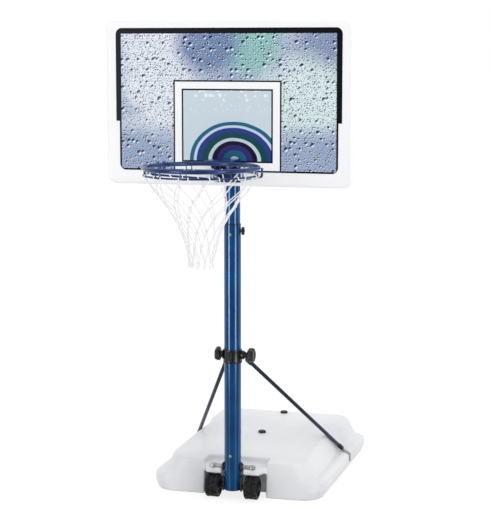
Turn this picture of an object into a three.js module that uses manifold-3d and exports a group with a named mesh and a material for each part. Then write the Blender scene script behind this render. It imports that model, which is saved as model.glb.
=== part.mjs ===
// Poolside basketball hoop: a telescoping pole on a ballasted base, braced by two struts,
// with a moulded backboard, a steel rim and a cord net.
// Millimetres. +Z is up, -Y is the side that the rim is on, +X is to the right of someone
// who faces the board. The origin is on the floor, under the middle of the base.

import * as THREE from "three";
import { mergeVertices } from "three/addons/utils/BufferGeometryUtils.js";
import Module from "manifold-3d";

const wasm = await Module();
wasm.setup();

// Clearances
const SEAT_GAP = 0.3;
const RUN_GAP = 0.4;
const OVERRUN = 4;
const WELD = 0.001;

// Facets
const POLE_SIDES = 32;
const ROUND_SIDES = 24;
const SHAFT_SIDES = 12;
const WIRE_SIDES = 6;
const HEX_SIDES = 6;
const LINK_SIDES = 4;
const RING_SIDES = 8;
const RING_STEPS = 48;
const CORNER_STEPS = 4;
const UPWARD = 90;
const DOWNWARD = 270;

// Base tank
const BASE_HEIGHT = 182;
const BASE_HALF_WIDTH = 409;
const BASE_FRONT = 31;
const BASE_REAR = 1068;
const BASE_WALL = 4;
const BASE_CORNER = 95;
const BASE_FOOT_INSET = 17;
const BASE_LIP_HEIGHT = 38;
const BASE_STEP_HEIGHT = 72;
const BASE_STEP_INSET = 2;
const BASE_LEDGE_HEIGHT = 84;
const BASE_LEDGE_INSET = 24;
const BASE_GROOVE_LOW = 90;
const BASE_GROOVE_HIGH = 102;
const BASE_GROOVE_INSET = 58;
const BASE_EDGE_HEIGHT = 168;
const BASE_EDGE_INSET = 90;
const BASE_TOP_INSET = 104;
const BASE_FRONT_DRAFT = 16;
const SHOULDER_FRONT = 650;
const SHOULDER_INSET = 40;
const SHOULDER_RISE = 18;
const SHOULDER_CORNER = 60;
const SLOPE_REAR = 430;
const SLOPE_DROP = 22;
const SLOPE_CHAMFER = 9;
const NOTCH_HALF_WIDTH = 146;
const NOTCH_REAR = 120;
const SHELF_THICK = 26;
const SHELF_FRONT = -14;
const SHELF_SLOT_HALF = 50;
const SHELF_SLOT_REAR = 56;
const BALLAST_GAP = 1;
const BALLAST_LEVEL = 142;

// Filler caps
const CAP_PLACES = { front: 508, rear: 935 };
const CAP_RADIUS = 18.5;
const CAP_HEIGHT = 10;
const CAP_CHAMFER = 2;
const CAP_NECK_RADIUS = 13.5;
const CAP_NECK_LENGTH = 16;

// Poles
const POLE_LOWER_RADIUS = 38.1;
const POLE_LOWER_WALL = 1.6;
const POLE_LOWER_FOOT = 40;
const POLE_UPPER_RADIUS = 34.925;
const POLE_UPPER_WALL = 1.8;
const POLE_OVERLAP = 554;
const POLE_ABOVE_MOUNT = 55;
const POLE_CAP_THICK = 4;
const POLE_CAP_PLUG = 18;
const BUSHING_LENGTH = 56;
const BUSHING_LIP = 2.5;
const BUSHING_LIP_RADIUS = 37.9;
const BUSHING_SCREW_DEPTH = 43;
const FOOT_BOLT_HEIGHT = 202;
const SCREW_RADIUS = 3;
const SCREW_HEAD_RADIUS = 6.5;
const SCREW_HEAD_THICK = 3.5;
const SCREW_TIP = 5;

// Height lock
const LOCK_HEIGHT = 1225;
const LOCK_DEPTH = 29;
const LOCK_BOSS_RADIUS = 8;
const LOCK_BOSS_THICK = 4;
const LOCK_STUD_RADIUS = 4;
const LOCK_KNOB_HEIGHT = 36;
const LOCK_KNOB_WIDTH = 14;
const LOCK_KNOB_WAIST = 8;
const LOCK_KNOB_THICK = 12;
const LOCK_LOBE_TURN = 120;

// Pole foot, pivot rod and wheels
const ROD_HEIGHT = 147;
const ROD_RADIUS = 8.5;
const ROD_HALF_LENGTH = 107;
const ROD_BUSH_RADIUS = 22;
const ROD_BUSH_TIP_RADIUS = 13;
const ROD_BUSH_THICK = 11;
const CLAMP_PLACE = 92;
const CLAMP_WIDTH = 16;
const CLAMP_THICK = 2.5;
const CLAMP_FOOT = 12;
const SADDLE_LOW = 34;
const SADDLE_HIGH = 98;
const SADDLE_THICK = 7;
const SADDLE_FRONT = -14;
const AXLE_HEIGHT = 53;
const AXLE_RADIUS = 6;
const AXLE_SPACER_RADIUS = 10;
const WHEEL_RADIUS = 52.5;
const WHEEL_WIDTH = 60;
const WHEEL_PLACE = 91;
const WHEEL_CORE_RADIUS = 48;
const WHEEL_HUB_RADIUS = 15;
const WHEEL_DISH_RADIUS = 36;
const WHEEL_DISH_DEPTH = 8;
const TREAD_ROWS = 3;
const TREAD_BLOCKS = 12;
const TREAD_GROOVE = 4;
const TREAD_FILL_SHARE = 0.68;
const TREAD_ROOT_SHARE = 0.8;
const AXLE_CAP_RADIUS = 11;
const AXLE_CAP_THICK = 6;
const AXLE_CAP_FLOOR = 2;

// Strut collar, knobs and struts
const COLLAR_BELOW = 37;
const COLLAR_ABOVE = 25;
const COLLAR_THICK = 4.6;
const COLLAR_EDGE = 1.5;
const STUD_HEIGHT = 664;
const STUD_RADIUS = 5;
const BOSS_RADIUS = 20.5;
const BOSS_FACES = { left: 46, right: 53 };
const BOSS_FLOOR = 2;
const EYE_RADIUS = 15;
const EYE_THICK = 8;
const KNOB_NECKS = { left: 2, right: 10 };
const KNOB_NECK_RADIUS = 12;
const KNOB_RADIUS = 33;
const KNOB_LOBES = 5;
const KNOB_LOBE_DEPTH = 5;
const KNOB_THICKS = { left: 22, right: 30 };
const KNOB_BEVEL = 4;
const KNOB_FLOOR = 5;
const KNOB_STEPS = 30;
const KNOB_BEVEL_STEPS = 1;
const STRUT_RADIUS = 9;
const STRUT_WALL = 1.6;
const STRUT_TOP_OUT = 27;
const STRUT_TOP_BACK = 37.5;
const STRUT_END_BACK = 625.5;
const STRUT_END_INSET = 14;
const STRUT_END_RISE = 16.5;
const STRUT_START = 60;
const SLEEVE_RADIUS = 12.5;
const SLEEVE_START = 50;
const SLEEVE_LENGTH = 40;
const EYE_ARM_RADIUS = 9;
const BOOT_RADIUS = 11.2;
const BOOT_LENGTH = 32;
const HOOK_PLUG_LENGTH = 34;
const HOOK_REACH = 12;
const HOOK_WIDTH = 22;
const HOOK_THICK = 3.2;

// Backboard
const BOARD_WIDTH = 1118;
const BOARD_HEIGHT = 724;
const BOARD_THICK = 38;
const BOARD_RISE = 177;
const BOARD_CORNER = 42;
const BOARD_ROUND = 12;
const BOARD_ROUND_STEPS = 2;
const BOARD_WALL = 3.5;
const BOARD_POLE_GAP = 11;
const GRAPHIC_THICK = 0.6;
const GRAPHIC_SIDE_MARGIN = 46;
const GRAPHIC_STEP = 16;
const GRAPHIC_STEP_RISE = 280;
const GRAPHIC_TOP_MARGIN = 36;
const GRAPHIC_BOTTOM_MARGIN = 63;
const GRAPHIC_CORNER = 22;
const MOUNT_PLATE = 3;
const MOUNT_HALF_WIDTH = 110;
const MOUNT_HEIGHT = 70;
const MOUNT_EAR_REAR = 22;
const MOUNT_LOW_RISE = 66;
const MOUNT_HIGH_RISE = 524;
const MOUNT_BOLT_RADIUS = 4.5;
const MOUNT_HEAD_RADIUS = 8.5;
const MOUNT_HEAD_THICK = 6;
const MOUNT_SCREW_SPREAD = 82;
const MOUNT_SCREW_RISE = 20;
const MOUNT_SCREW_LENGTH = 15;

// Rim
const RIM_INNER_RADIUS = 228.6;
const RIM_ROD_RADIUS = 9.5;
const RIM_STANDOFF = 152.4;
const RIM_RISE = 108;
const HOOK_COUNT = 12;
const LOOP_WIDTH = 24;
const LOOP_DROP = 22;
const LOOP_WIRE = 4;
const RIM_WIRE_RADIUS = 4;
const BRACKET_HALF_WIDTH = 62;
const BRACKET_FOOT = 17;
const BRACKET_PLATE = 4;
const CHEEK_PLACE = 36;
const CHEEK_NOSE = 22;
const RIM_BOLT_SPREAD = 50;
const RIM_BOLT_LOW_RISE = 43;
const RIM_BOLT_HIGH_RISE = 89;
const RIM_BOLT_RADIUS = 4;
const RIM_BOLT_HEAD_RADIUS = 7.5;
const RIM_BOLT_HEAD_THICK = 4;
const RIM_NUT_RADIUS = 7;
const BRACE_RADIUS = 5;
const BRACE_FOOT_RISE = 12;
const BRACE_DROP = 28;

// Net, as radius and height below the ring's middle at each row of knots
const CORD_RADIUS = 1.9;
const LINK_RADIUS = 8.5;
const LINK_WIRE = 2;
const NET_COLUMNS = HOOK_COUNT;
const KNOT_PLACES = ["top", "right", "foot", "left"];
const NET_LENGTH = 404;
const NET_TOP_RADIUS = 236;
const NET_RADIUS_SHARES = [0.83, 0.635, 0.455, 0.335, 0.26, 0.22];
const NET_DROP_SHARES = [0.235, 0.385, 0.54, 0.685, 0.84, 1];

// Places worked out from the sizes above
const POLE_LOWER_BORE = POLE_LOWER_RADIUS - POLE_LOWER_WALL;
const POLE_LOWER_TOP = LOCK_HEIGHT + LOCK_DEPTH;
const BUSHING_SCREW_HEIGHT = POLE_LOWER_TOP - BUSHING_SCREW_DEPTH;
const COLLAR_LOW = STUD_HEIGHT - COLLAR_BELOW;
const COLLAR_HIGH = STUD_HEIGHT + COLLAR_ABOVE;
const STRUT_END_OUT = BASE_HALF_WIDTH - BASE_LEDGE_INSET - STRUT_END_INSET;
const STRUT_END_HEIGHT = BASE_LEDGE_HEIGHT + STRUT_END_RISE;
const BASE_MIDDLE = (BASE_FRONT + BASE_REAR) / 2;
const BOARD_BOTTOM = POLE_LOWER_TOP + BOARD_RISE;
const MOUNT_LOW_CENTRE = BOARD_BOTTOM + MOUNT_LOW_RISE;
const MOUNT_HIGH_CENTRE = BOARD_BOTTOM + MOUNT_HIGH_RISE;
const POLE_UPPER_FOOT = POLE_LOWER_TOP - POLE_OVERLAP;
const POLE_UPPER_TOP = MOUNT_HIGH_CENTRE + POLE_ABOVE_MOUNT;
const BOARD_BACK = -(POLE_UPPER_RADIUS + BOARD_POLE_GAP);
const BOARD_FRONT = BOARD_BACK - BOARD_THICK;
const GRAPHIC_FRONT = BOARD_FRONT - SEAT_GAP - GRAPHIC_THICK;
const RIM_HEIGHT = BOARD_BOTTOM + RIM_RISE;
const RIM_BOLT_LOW = BOARD_BOTTOM + RIM_BOLT_LOW_RISE;
const RIM_BOLT_HIGH = BOARD_BOTTOM + RIM_BOLT_HIGH_RISE;
const RIM_RADIUS = RIM_INNER_RADIUS + RIM_ROD_RADIUS;
const RIM_WIRE_HEIGHT = RIM_HEIGHT - RIM_ROD_RADIUS - LOOP_DROP + LOOP_WIRE / 2;
const RIM_CENTRE = BOARD_FRONT - RIM_STANDOFF - RIM_INNER_RADIUS;
const SIDES = { left: -1, right: 1 };

const material = (color, roughness, metalness = 0) =>
  new THREE.MeshStandardMaterial({ color, roughness, metalness });
const whitePlastic = material("#dadade", 0.45);
const blackPlastic = material("#191a1c", 0.5);
const tyreBlack = material("#1b1b1d", 0.75);
const bluePaint = material("#16406e", 0.25, 0.3);
const rimPaint = material("#2d4b7d", 0.3, 0.3);
const navyPaint = material("#2b2f4b", 0.35, 0.3);
const greySteel = material("#8f9194", 0.4, 0.8);
const printedFilm = material("#8fa6cc", 0.3);
const whiteCord = material("#f4f4f6", 0.9);
const ballastBlue = material("#7fa4b8", 0.2);

// A closed body with its repeated corners merged and its faces turned outwards.
function solid(geometry) {
  const bare = geometry.clone();
  bare.deleteAttribute("normal");
  bare.deleteAttribute("uv");
  const merged = mergeVertices(bare, WELD);
  const points = merged.attributes.position.array;
  const faces = [];
  const index = merged.index.array;
  for (let i = 0; i < index.length; i += 3) {
    const [a, b, c] = [index[i], index[i + 1], index[i + 2]];
    if (a !== b && b !== c && c !== a) faces.push([a, b, c]);
  }
  const corner = (i) => new THREE.Vector3().fromArray(points, i * 3);
  let volume = 0;
  for (const [a, b, c] of faces) volume += corner(a).dot(corner(b).cross(corner(c)));
  const outward = faces.flatMap(([a, b, c]) => (volume < 0 ? [a, c, b] : [a, b, c]));
  const mesh = new wasm.Mesh({
    numProp: 3,
    vertProperties: Float32Array.from(points),
    triVerts: Uint32Array.from(outward),
  });
  return new wasm.Manifold(mesh);
}

function shapeOf(body) {
  const { vertProperties, triVerts } = body.getMesh();
  const geometry = new THREE.BufferGeometry();
  geometry.setAttribute("position", new THREE.BufferAttribute(vertProperties, 3));
  geometry.setIndex(new THREE.BufferAttribute(triVerts, 1));
  return geometry;
}

function join(...pieces) {
  return shapeOf(pieces.map(solid).reduce((whole, piece) => whole.add(piece)));
}

function cut(piece, ...tools) {
  return shapeOf(tools.map(solid).reduce((whole, tool) => whole.subtract(tool), solid(piece)));
}

// A straight round bar between two points.
function bar(from, to, radius, sides = SHAFT_SIDES, tipRadius = radius) {
  const a = new THREE.Vector3(...from);
  const b = new THREE.Vector3(...to);
  const run = b.clone().sub(a);
  const geometry = new THREE.CylinderGeometry(tipRadius, radius, run.length(), sides);
  const turn = new THREE.Quaternion().setFromUnitVectors(new THREE.Vector3(0, 1, 0), run.normalize());
  const middle = a.add(b).multiplyScalar(1 / 2);
  return geometry.applyQuaternion(turn).translate(middle.x, middle.y, middle.z);
}

// A block given by its low and high corners.
function block(low, high) {
  const size = high.map((value, i) => value - low[i]);
  const middle = high.map((value, i) => (value + low[i]) / 2);
  return new THREE.BoxGeometry(...size).translate(...middle);
}

// A body of revolution about Z from [radius, height] points that close on the axis or on themselves.
function turned(points, sides = ROUND_SIDES) {
  const profile = points.map(([radius, height]) => new THREE.Vector2(radius, height));
  return new THREE.LatheGeometry(profile, sides).rotateX(Math.PI / 2);
}

function tube(outer, inner, low, high, sides = ROUND_SIDES) {
  return turned([[inner, low], [outer, low], [outer, high], [inner, high], [inner, low]], sides);
}

// An outline of [a, b] points pushed along a third axis, from one place to another.
function prism(outline, from, to, axis, holes = []) {
  const shape = new THREE.Shape(outline.map(([a, b]) => new THREE.Vector2(a, b)));
  for (const hole of holes) {
    shape.holes.push(new THREE.Path(hole.map(([a, b]) => new THREE.Vector2(a, b))));
  }
  const geometry = new THREE.ExtrudeGeometry(shape, { depth: to - from, bevelEnabled: false });
  geometry.translate(0, 0, from);
  const [x, y, z] = [new THREE.Vector3(1, 0, 0), new THREE.Vector3(0, 1, 0), new THREE.Vector3(0, 0, 1)];
  const frames = { x: [y, z, x], y: [x, z, y], z: [x, y, z] };
  return geometry.applyMatrix4(new THREE.Matrix4().makeBasis(...frames[axis]));
}

// Points on an arc, from one angle to another in degrees.
function arc(centreA, centreB, radius, start, end, steps) {
  return Array.from({ length: steps + 1 }, (_, i) => {
    const angle = THREE.MathUtils.degToRad(start + ((end - start) * i) / steps);
    return [centreA + radius * Math.cos(angle), centreB + radius * Math.sin(angle)];
  });
}

// A rectangle with round corners, as points that run anticlockwise.
function roundedOutline(left, right, low, high, corner, steps = CORNER_STEPS) {
  return [
    ...arc(right - corner, high - corner, corner, 0, 90, steps),
    ...arc(left + corner, high - corner, corner, 90, 180, steps),
    ...arc(left + corner, low + corner, corner, 180, 270, steps),
    ...arc(right - corner, low + corner, corner, 270, 360, steps),
  ];
}

// A body through a stack of rings with the same number of [x, y, z] points.
function skin(rings) {
  const count = rings[0].length;
  const faces = [];
  for (let ring = 0; ring + 1 < rings.length; ring += 1) {
    for (let i = 0; i < count; i += 1) {
      const a = ring * count + i;
      const b = ring * count + ((i + 1) % count);
      faces.push(a, b, b + count, a, b + count, a + count);
    }
  }
  const top = (rings.length - 1) * count;
  for (let i = 1; i + 1 < count; i += 1) faces.push(0, i + 1, i, top, top + i, top + i + 1);
  const geometry = new THREE.BufferGeometry();
  geometry.setAttribute("position", new THREE.Float32BufferAttribute(rings.flat(2), 3));
  geometry.setIndex(faces);
  return geometry;
}

const hoop = new THREE.Group();
hoop.position.y = -BASE_MIDDLE;

function add(name, geometry, finish) {
  const mesh = new THREE.Mesh(shapeOf(solid(geometry)), finish);
  mesh.name = name;
  hoop.add(mesh);
}

// Base: a blow-moulded tank with stepped sides, a sloping front deck and a notch for the pole.
const baseRows = [
  [0, BASE_FOOT_INSET],
  [BASE_LIP_HEIGHT, 0],
  [BASE_STEP_HEIGHT, BASE_STEP_INSET],
  [BASE_LEDGE_HEIGHT, BASE_LEDGE_INSET],
  [BASE_GROOVE_LOW, BASE_GROOVE_INSET],
  [BASE_GROOVE_HIGH, BASE_GROOVE_INSET],
  [BASE_EDGE_HEIGHT, BASE_EDGE_INSET],
  [BASE_HEIGHT, BASE_TOP_INSET],
];

// The raised shoulder along the tank's rear half: heights and insets.
const shoulderRows = [
  [BASE_STEP_HEIGHT, SHOULDER_INSET],
  [BASE_GROOVE_LOW, SHOULDER_INSET],
  [BASE_EDGE_HEIGHT, BASE_EDGE_INSET - SHOULDER_RISE],
  [BASE_HEIGHT, BASE_TOP_INSET - SHOULDER_RISE],
];

// The tank's outline at one height. Its front has no ledge and leans back by the draft.
function baseOutline(inset, wall, height) {
  const front = BASE_FRONT + BASE_FRONT_DRAFT * (height / BASE_HEIGHT) + wall;
  const side = BASE_HALF_WIDTH - inset - wall;
  const corner = BASE_CORNER - wall;
  return roundedOutline(-side, side, front, BASE_REAR - inset - wall, corner);
}

function shoulderOutline(inset, wall) {
  const side = BASE_HALF_WIDTH - inset - wall;
  const rear = BASE_REAR - inset - SHOULDER_RISE / 2 - wall;
  return roundedOutline(-side, side, SHOULDER_FRONT + inset + wall, rear, SHOULDER_CORNER - wall);
}

// A skin through rows of heights and insets, inside a wall and under a level.
function layered(rows, outline, wall, level) {
  const lowered = rows.map(([height, inset]) => [Math.max(height - wall, wall), inset]);
  const below = lowered.filter(([height]) => height < level);
  const [low, high] = [below[below.length - 1], lowered[below.length]];
  const share = (level - low[0]) / (high[0] - low[0]);
  const rings = [...below, [level, low[1] + (high[1] - low[1]) * share]];
  return skin(rings.map(([height, inset]) => outline(inset, wall, height).map(([x, y]) => [x, y, height])));
}

// The tank's body, grown smaller all round by a wall, up to a level.
function baseBody(wall, level) {
  const body = join(
    layered(baseRows, baseOutline, wall, level),
    layered(shoulderRows, shoulderOutline, wall, level),
  );
  const deck = BASE_HEIGHT - wall;
  const nose = BASE_FRONT + wall;
  const slope = prism([
    [SLOPE_REAR, deck],
    [nose + SLOPE_CHAMFER, deck - SLOPE_DROP],
    [nose - OVERRUN, deck - SLOPE_DROP - SLOPE_CHAMFER - OVERRUN],
    [nose - OVERRUN, deck + OVERRUN],
    [SLOPE_REAR, deck + OVERRUN],
  ], -BASE_HALF_WIDTH, BASE_HALF_WIDTH, "x");
  const notch = block(
    [-NOTCH_HALF_WIDTH - wall, BASE_FRONT - OVERRUN, -OVERRUN],
    [NOTCH_HALF_WIDTH + wall, NOTCH_REAR + wall, BASE_HEIGHT + OVERRUN],
  );
  return cut(body, slope, notch);
}

function makeBase() {
  const shelfTop = ROD_HEIGHT - ROD_RADIUS - SEAT_GAP;
  const reach = BASE_WALL / 2;
  const shelf = prism(
    [
      [-NOTCH_HALF_WIDTH - reach, NOTCH_REAR + reach],
      [-NOTCH_HALF_WIDTH - reach, BASE_FRONT + BASE_FRONT_DRAFT + reach],
      [-ROD_HALF_LENGTH - CLAMP_WIDTH, SHELF_FRONT],
      [-SHELF_SLOT_HALF, SHELF_FRONT],
      [-SHELF_SLOT_HALF, SHELF_SLOT_REAR],
      [SHELF_SLOT_HALF, SHELF_SLOT_REAR],
      [SHELF_SLOT_HALF, SHELF_FRONT],
      [ROD_HALF_LENGTH + CLAMP_WIDTH, SHELF_FRONT],
      [NOTCH_HALF_WIDTH + reach, BASE_FRONT + BASE_FRONT_DRAFT + reach],
      [NOTCH_HALF_WIDTH + reach, NOTCH_REAR + reach],
    ],
    shelfTop - SHELF_THICK,
    shelfTop,
    "z",
  );
  const hollow = baseBody(BASE_WALL, BASE_HEIGHT - BASE_WALL);
  const [fillerLow, fillerHigh] = [BASE_HEIGHT - BASE_WALL - OVERRUN, BASE_HEIGHT + OVERRUN];
  const fillers = Object.values(CAP_PLACES).map((y) =>
    bar([0, y, fillerLow], [0, y, fillerHigh], CAP_NECK_RADIUS + RUN_GAP, ROUND_SIDES));
  const shell = cut(baseBody(0, BASE_HEIGHT), hollow, ...fillers);
  add("base_tank", join(shell, shelf), whitePlastic);
  add("ballast_fill", baseBody(BASE_WALL + BALLAST_GAP, BALLAST_LEVEL), ballastBlue);
  for (const [place, y] of Object.entries(CAP_PLACES)) {
    const top = BASE_HEIGHT + SEAT_GAP;
    add(`fill_cap_${place}`, turned([
      [0, top - CAP_NECK_LENGTH],
      [CAP_NECK_RADIUS, top - CAP_NECK_LENGTH],
      [CAP_NECK_RADIUS, top],
      [CAP_RADIUS, top],
      [CAP_RADIUS, top + CAP_HEIGHT - CAP_CHAMFER],
      [CAP_RADIUS - CAP_CHAMFER, top + CAP_HEIGHT],
      [0, top + CAP_HEIGHT],
    ]).translate(0, y, 0), blackPlastic);
  }
}

// Poles: two steel tubes, the upper one sliding in the lower one through a plastic bushing.
function makePoles() {
  const cross = POLE_LOWER_RADIUS + OVERRUN;
  const holes = [
    bar([-cross, 0, AXLE_HEIGHT], [cross, 0, AXLE_HEIGHT], AXLE_RADIUS + RUN_GAP),
    bar([-cross, 0, ROD_HEIGHT], [cross, 0, ROD_HEIGHT], ROD_RADIUS + RUN_GAP),
    bar([0, -cross, FOOT_BOLT_HEIGHT], [0, 0, FOOT_BOLT_HEIGHT], SCREW_RADIUS + RUN_GAP),
    bar([0, -cross, BUSHING_SCREW_HEIGHT], [0, 0, BUSHING_SCREW_HEIGHT], SCREW_RADIUS + RUN_GAP),
    bar([0, 0, LOCK_HEIGHT], [cross, 0, LOCK_HEIGHT], LOCK_STUD_RADIUS + RUN_GAP),
  ];
  const lower = tube(POLE_LOWER_RADIUS, POLE_LOWER_BORE, POLE_LOWER_FOOT, POLE_LOWER_TOP, POLE_SIDES);
  add("pole_lower", cut(lower, ...holes), bluePaint);

  const upperBore = POLE_UPPER_RADIUS - POLE_UPPER_WALL;
  const upper = tube(POLE_UPPER_RADIUS, upperBore, POLE_UPPER_FOOT, POLE_UPPER_TOP, POLE_SIDES);
  const boltHoles = [MOUNT_LOW_CENTRE, MOUNT_HIGH_CENTRE].map((z) =>
    bar([-cross, 0, z], [cross, 0, z], MOUNT_BOLT_RADIUS + RUN_GAP));
  add("pole_upper", cut(upper, ...boltHoles), bluePaint);
  add("pole_cap", turned([
    [0, POLE_UPPER_TOP - POLE_CAP_PLUG],
    [upperBore - RUN_GAP, POLE_UPPER_TOP - POLE_CAP_PLUG],
    [upperBore - RUN_GAP, POLE_UPPER_TOP + SEAT_GAP],
    [POLE_UPPER_RADIUS, POLE_UPPER_TOP + SEAT_GAP],
    [POLE_UPPER_RADIUS - POLE_CAP_THICK / 2, POLE_UPPER_TOP + SEAT_GAP + POLE_CAP_THICK],
    [0, POLE_UPPER_TOP + SEAT_GAP + POLE_CAP_THICK],
  ], POLE_SIDES), blackPlastic);

  const sleeveBore = POLE_UPPER_RADIUS + RUN_GAP;
  const sleeve = turned([
    [sleeveBore, POLE_LOWER_TOP - BUSHING_LENGTH],
    [POLE_LOWER_BORE - SEAT_GAP, POLE_LOWER_TOP - BUSHING_LENGTH],
    [POLE_LOWER_BORE - SEAT_GAP, POLE_LOWER_TOP + SEAT_GAP],
    [BUSHING_LIP_RADIUS, POLE_LOWER_TOP + SEAT_GAP],
    [BUSHING_LIP_RADIUS, POLE_LOWER_TOP + BUSHING_LIP],
    [sleeveBore, POLE_LOWER_TOP + BUSHING_LIP],
    [sleeveBore, POLE_LOWER_TOP - BUSHING_LENGTH],
  ], POLE_SIDES);
  add("pole_bushing", cut(sleeve, holes[3], holes[4]), blackPlastic);

  const seat = -(POLE_LOWER_RADIUS + SEAT_GAP);
  const head = seat - SCREW_HEAD_THICK;
  const screw = (height, tip) => join(
    bar([0, tip, height], [0, (seat + head) / 2, height], SCREW_RADIUS),
    bar([0, seat, height], [0, head, height], SCREW_HEAD_RADIUS, SHAFT_SIDES, SCREW_RADIUS),
  );
  add("bushing_screw", screw(BUSHING_SCREW_HEIGHT, -(POLE_UPPER_RADIUS + SEAT_GAP)), greySteel);
  add("foot_bolt", screw(FOOT_BOLT_HEIGHT, -(POLE_LOWER_BORE - SCREW_TIP)), greySteel);
}

// Height lock: a hand knob whose stud presses on the upper pole.
function makeLock() {
  const bossBack = POLE_LOWER_RADIUS + SEAT_GAP;
  const bossFace = bossBack + LOCK_BOSS_THICK;
  const at = (x) => [x, 0, LOCK_HEIGHT];
  add("lock_boss", cut(
    bar(at(bossBack), at(bossFace), LOCK_BOSS_RADIUS),
    bar(at(bossBack - OVERRUN), at(bossFace + OVERRUN), LOCK_STUD_RADIUS + RUN_GAP),
  ), bluePaint);
  const half = LOCK_KNOB_HEIGHT / 2;
  const lobe = LOCK_KNOB_WIDTH / 2;
  const waist = LOCK_KNOB_WAIST / 2;
  const outline = [
    ...arc(0, half - lobe, lobe, UPWARD - LOCK_LOBE_TURN, UPWARD + LOCK_LOBE_TURN, CORNER_STEPS * 2),
    [-waist, 0],
    ...arc(0, lobe - half, lobe, DOWNWARD - LOCK_LOBE_TURN, DOWNWARD + LOCK_LOBE_TURN, CORNER_STEPS * 2),
    [waist, 0],
  ].map(([y, z]) => [y, z + LOCK_HEIGHT]);
  const back = bossFace + SEAT_GAP;
  add("lock_knob", join(
    prism(outline, back, back + LOCK_KNOB_THICK, "x"),
    bar(at(POLE_UPPER_RADIUS + SEAT_GAP), at(back + LOCK_KNOB_THICK / 2), LOCK_STUD_RADIUS),
  ), blackPlastic);
}

// Pole foot: a cross rod clamped on the tank's shelf, a saddle behind the pole, and two wheels.
function makeFoot() {
  const rodAt = (x) => [x, 0, ROD_HEIGHT];
  add("pivot_rod", bar(rodAt(-ROD_HALF_LENGTH), rodAt(ROD_HALF_LENGTH), ROD_RADIUS), greySteel);

  const arch = ROD_RADIUS + SEAT_GAP;
  const shelfTop = ROD_HEIGHT - ROD_RADIUS;
  const outer = arch + CLAMP_THICK;
  const strap = [
    [outer + CLAMP_FOOT, shelfTop],
    [outer + CLAMP_FOOT, shelfTop + CLAMP_THICK],
    [outer, shelfTop + CLAMP_THICK],
    ...arc(0, ROD_HEIGHT, outer, 0, 180, CORNER_STEPS * 2),
    [-outer, shelfTop],
    [-arch, shelfTop],
    ...arc(0, ROD_HEIGHT, arch, 180, 0, CORNER_STEPS * 2),
    [arch, shelfTop],
  ];

  const saddle = [
    [-(POLE_LOWER_RADIUS + RUN_GAP + SADDLE_THICK), SADDLE_FRONT],
    [-(POLE_LOWER_RADIUS + RUN_GAP), SADDLE_FRONT],
    ...arc(0, 0, POLE_LOWER_RADIUS + 2 * RUN_GAP, 180, 0, POLE_SIDES / 2),
    [POLE_LOWER_RADIUS + RUN_GAP, SADDLE_FRONT],
    [POLE_LOWER_RADIUS + RUN_GAP + SADDLE_THICK, SADDLE_FRONT],
    ...arc(0, 0, POLE_LOWER_RADIUS + RUN_GAP + SADDLE_THICK, 0, 180, POLE_SIDES / 2),
  ];
  const saddleFace = POLE_LOWER_RADIUS + RUN_GAP + SADDLE_THICK;
  const axleAt = (x) => [x, 0, AXLE_HEIGHT];
  add("axle_saddle", cut(
    prism(saddle, SADDLE_LOW, SADDLE_HIGH, "z"),
    bar(axleAt(-saddleFace - OVERRUN), axleAt(saddleFace + OVERRUN), AXLE_RADIUS + RUN_GAP),
  ), blackPlastic);

  const wheelInner = WHEEL_PLACE - WHEEL_WIDTH / 2;
  const wheelOuter = WHEEL_PLACE + WHEEL_WIDTH / 2;
  const axleEnd = wheelOuter + AXLE_CAP_THICK - AXLE_CAP_FLOOR;
  add("wheel_axle", bar(axleAt(-axleEnd), axleAt(axleEnd), AXLE_RADIUS), greySteel);

  for (const [side, s] of Object.entries(SIDES)) {
    const span = (near, far) => [rodAt(s * near), rodAt(s * far)];
    const bushBack = POLE_LOWER_RADIUS + SEAT_GAP;
    add(`rod_bush_${side}`, cut(
      bar(...span(bushBack, bushBack + ROD_BUSH_THICK), ROD_BUSH_RADIUS, ROUND_SIDES, ROD_BUSH_TIP_RADIUS),
      bar(...span(bushBack - OVERRUN, bushBack + ROD_BUSH_THICK + OVERRUN), ROD_RADIUS + RUN_GAP),
    ), blackPlastic);
    const clampLow = Math.min(s * CLAMP_PLACE - CLAMP_WIDTH / 2, s * CLAMP_PLACE + CLAMP_WIDTH / 2);
    add(`rod_clamp_${side}`, prism(strap, clampLow, clampLow + CLAMP_WIDTH, "x"), greySteel);

    const axleSpan = (near, far) => [axleAt(s * near), axleAt(s * far)];
    const [spacerLow, spacerHigh] = [saddleFace + SEAT_GAP, wheelInner - SEAT_GAP];
    add(`axle_spacer_${side}`, cut(
      bar(...axleSpan(spacerLow, spacerHigh), AXLE_SPACER_RADIUS),
      bar(...axleSpan(spacerLow - OVERRUN, spacerHigh + OVERRUN), AXLE_RADIUS + RUN_GAP),
    ), blackPlastic);
    const capInner = wheelOuter + SEAT_GAP;
    add(`axle_cap_${side}`, cut(
      bar(...axleSpan(capInner, capInner + AXLE_CAP_THICK), AXLE_CAP_RADIUS),
      bar(...axleSpan(capInner - OVERRUN, axleEnd + SEAT_GAP), AXLE_RADIUS + RUN_GAP),
    ), blackPlastic);
    add(`wheel_${side}`, wheel().translate(s * WHEEL_PLACE, 0, AXLE_HEIGHT), tyreBlack);
  }
}

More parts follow.
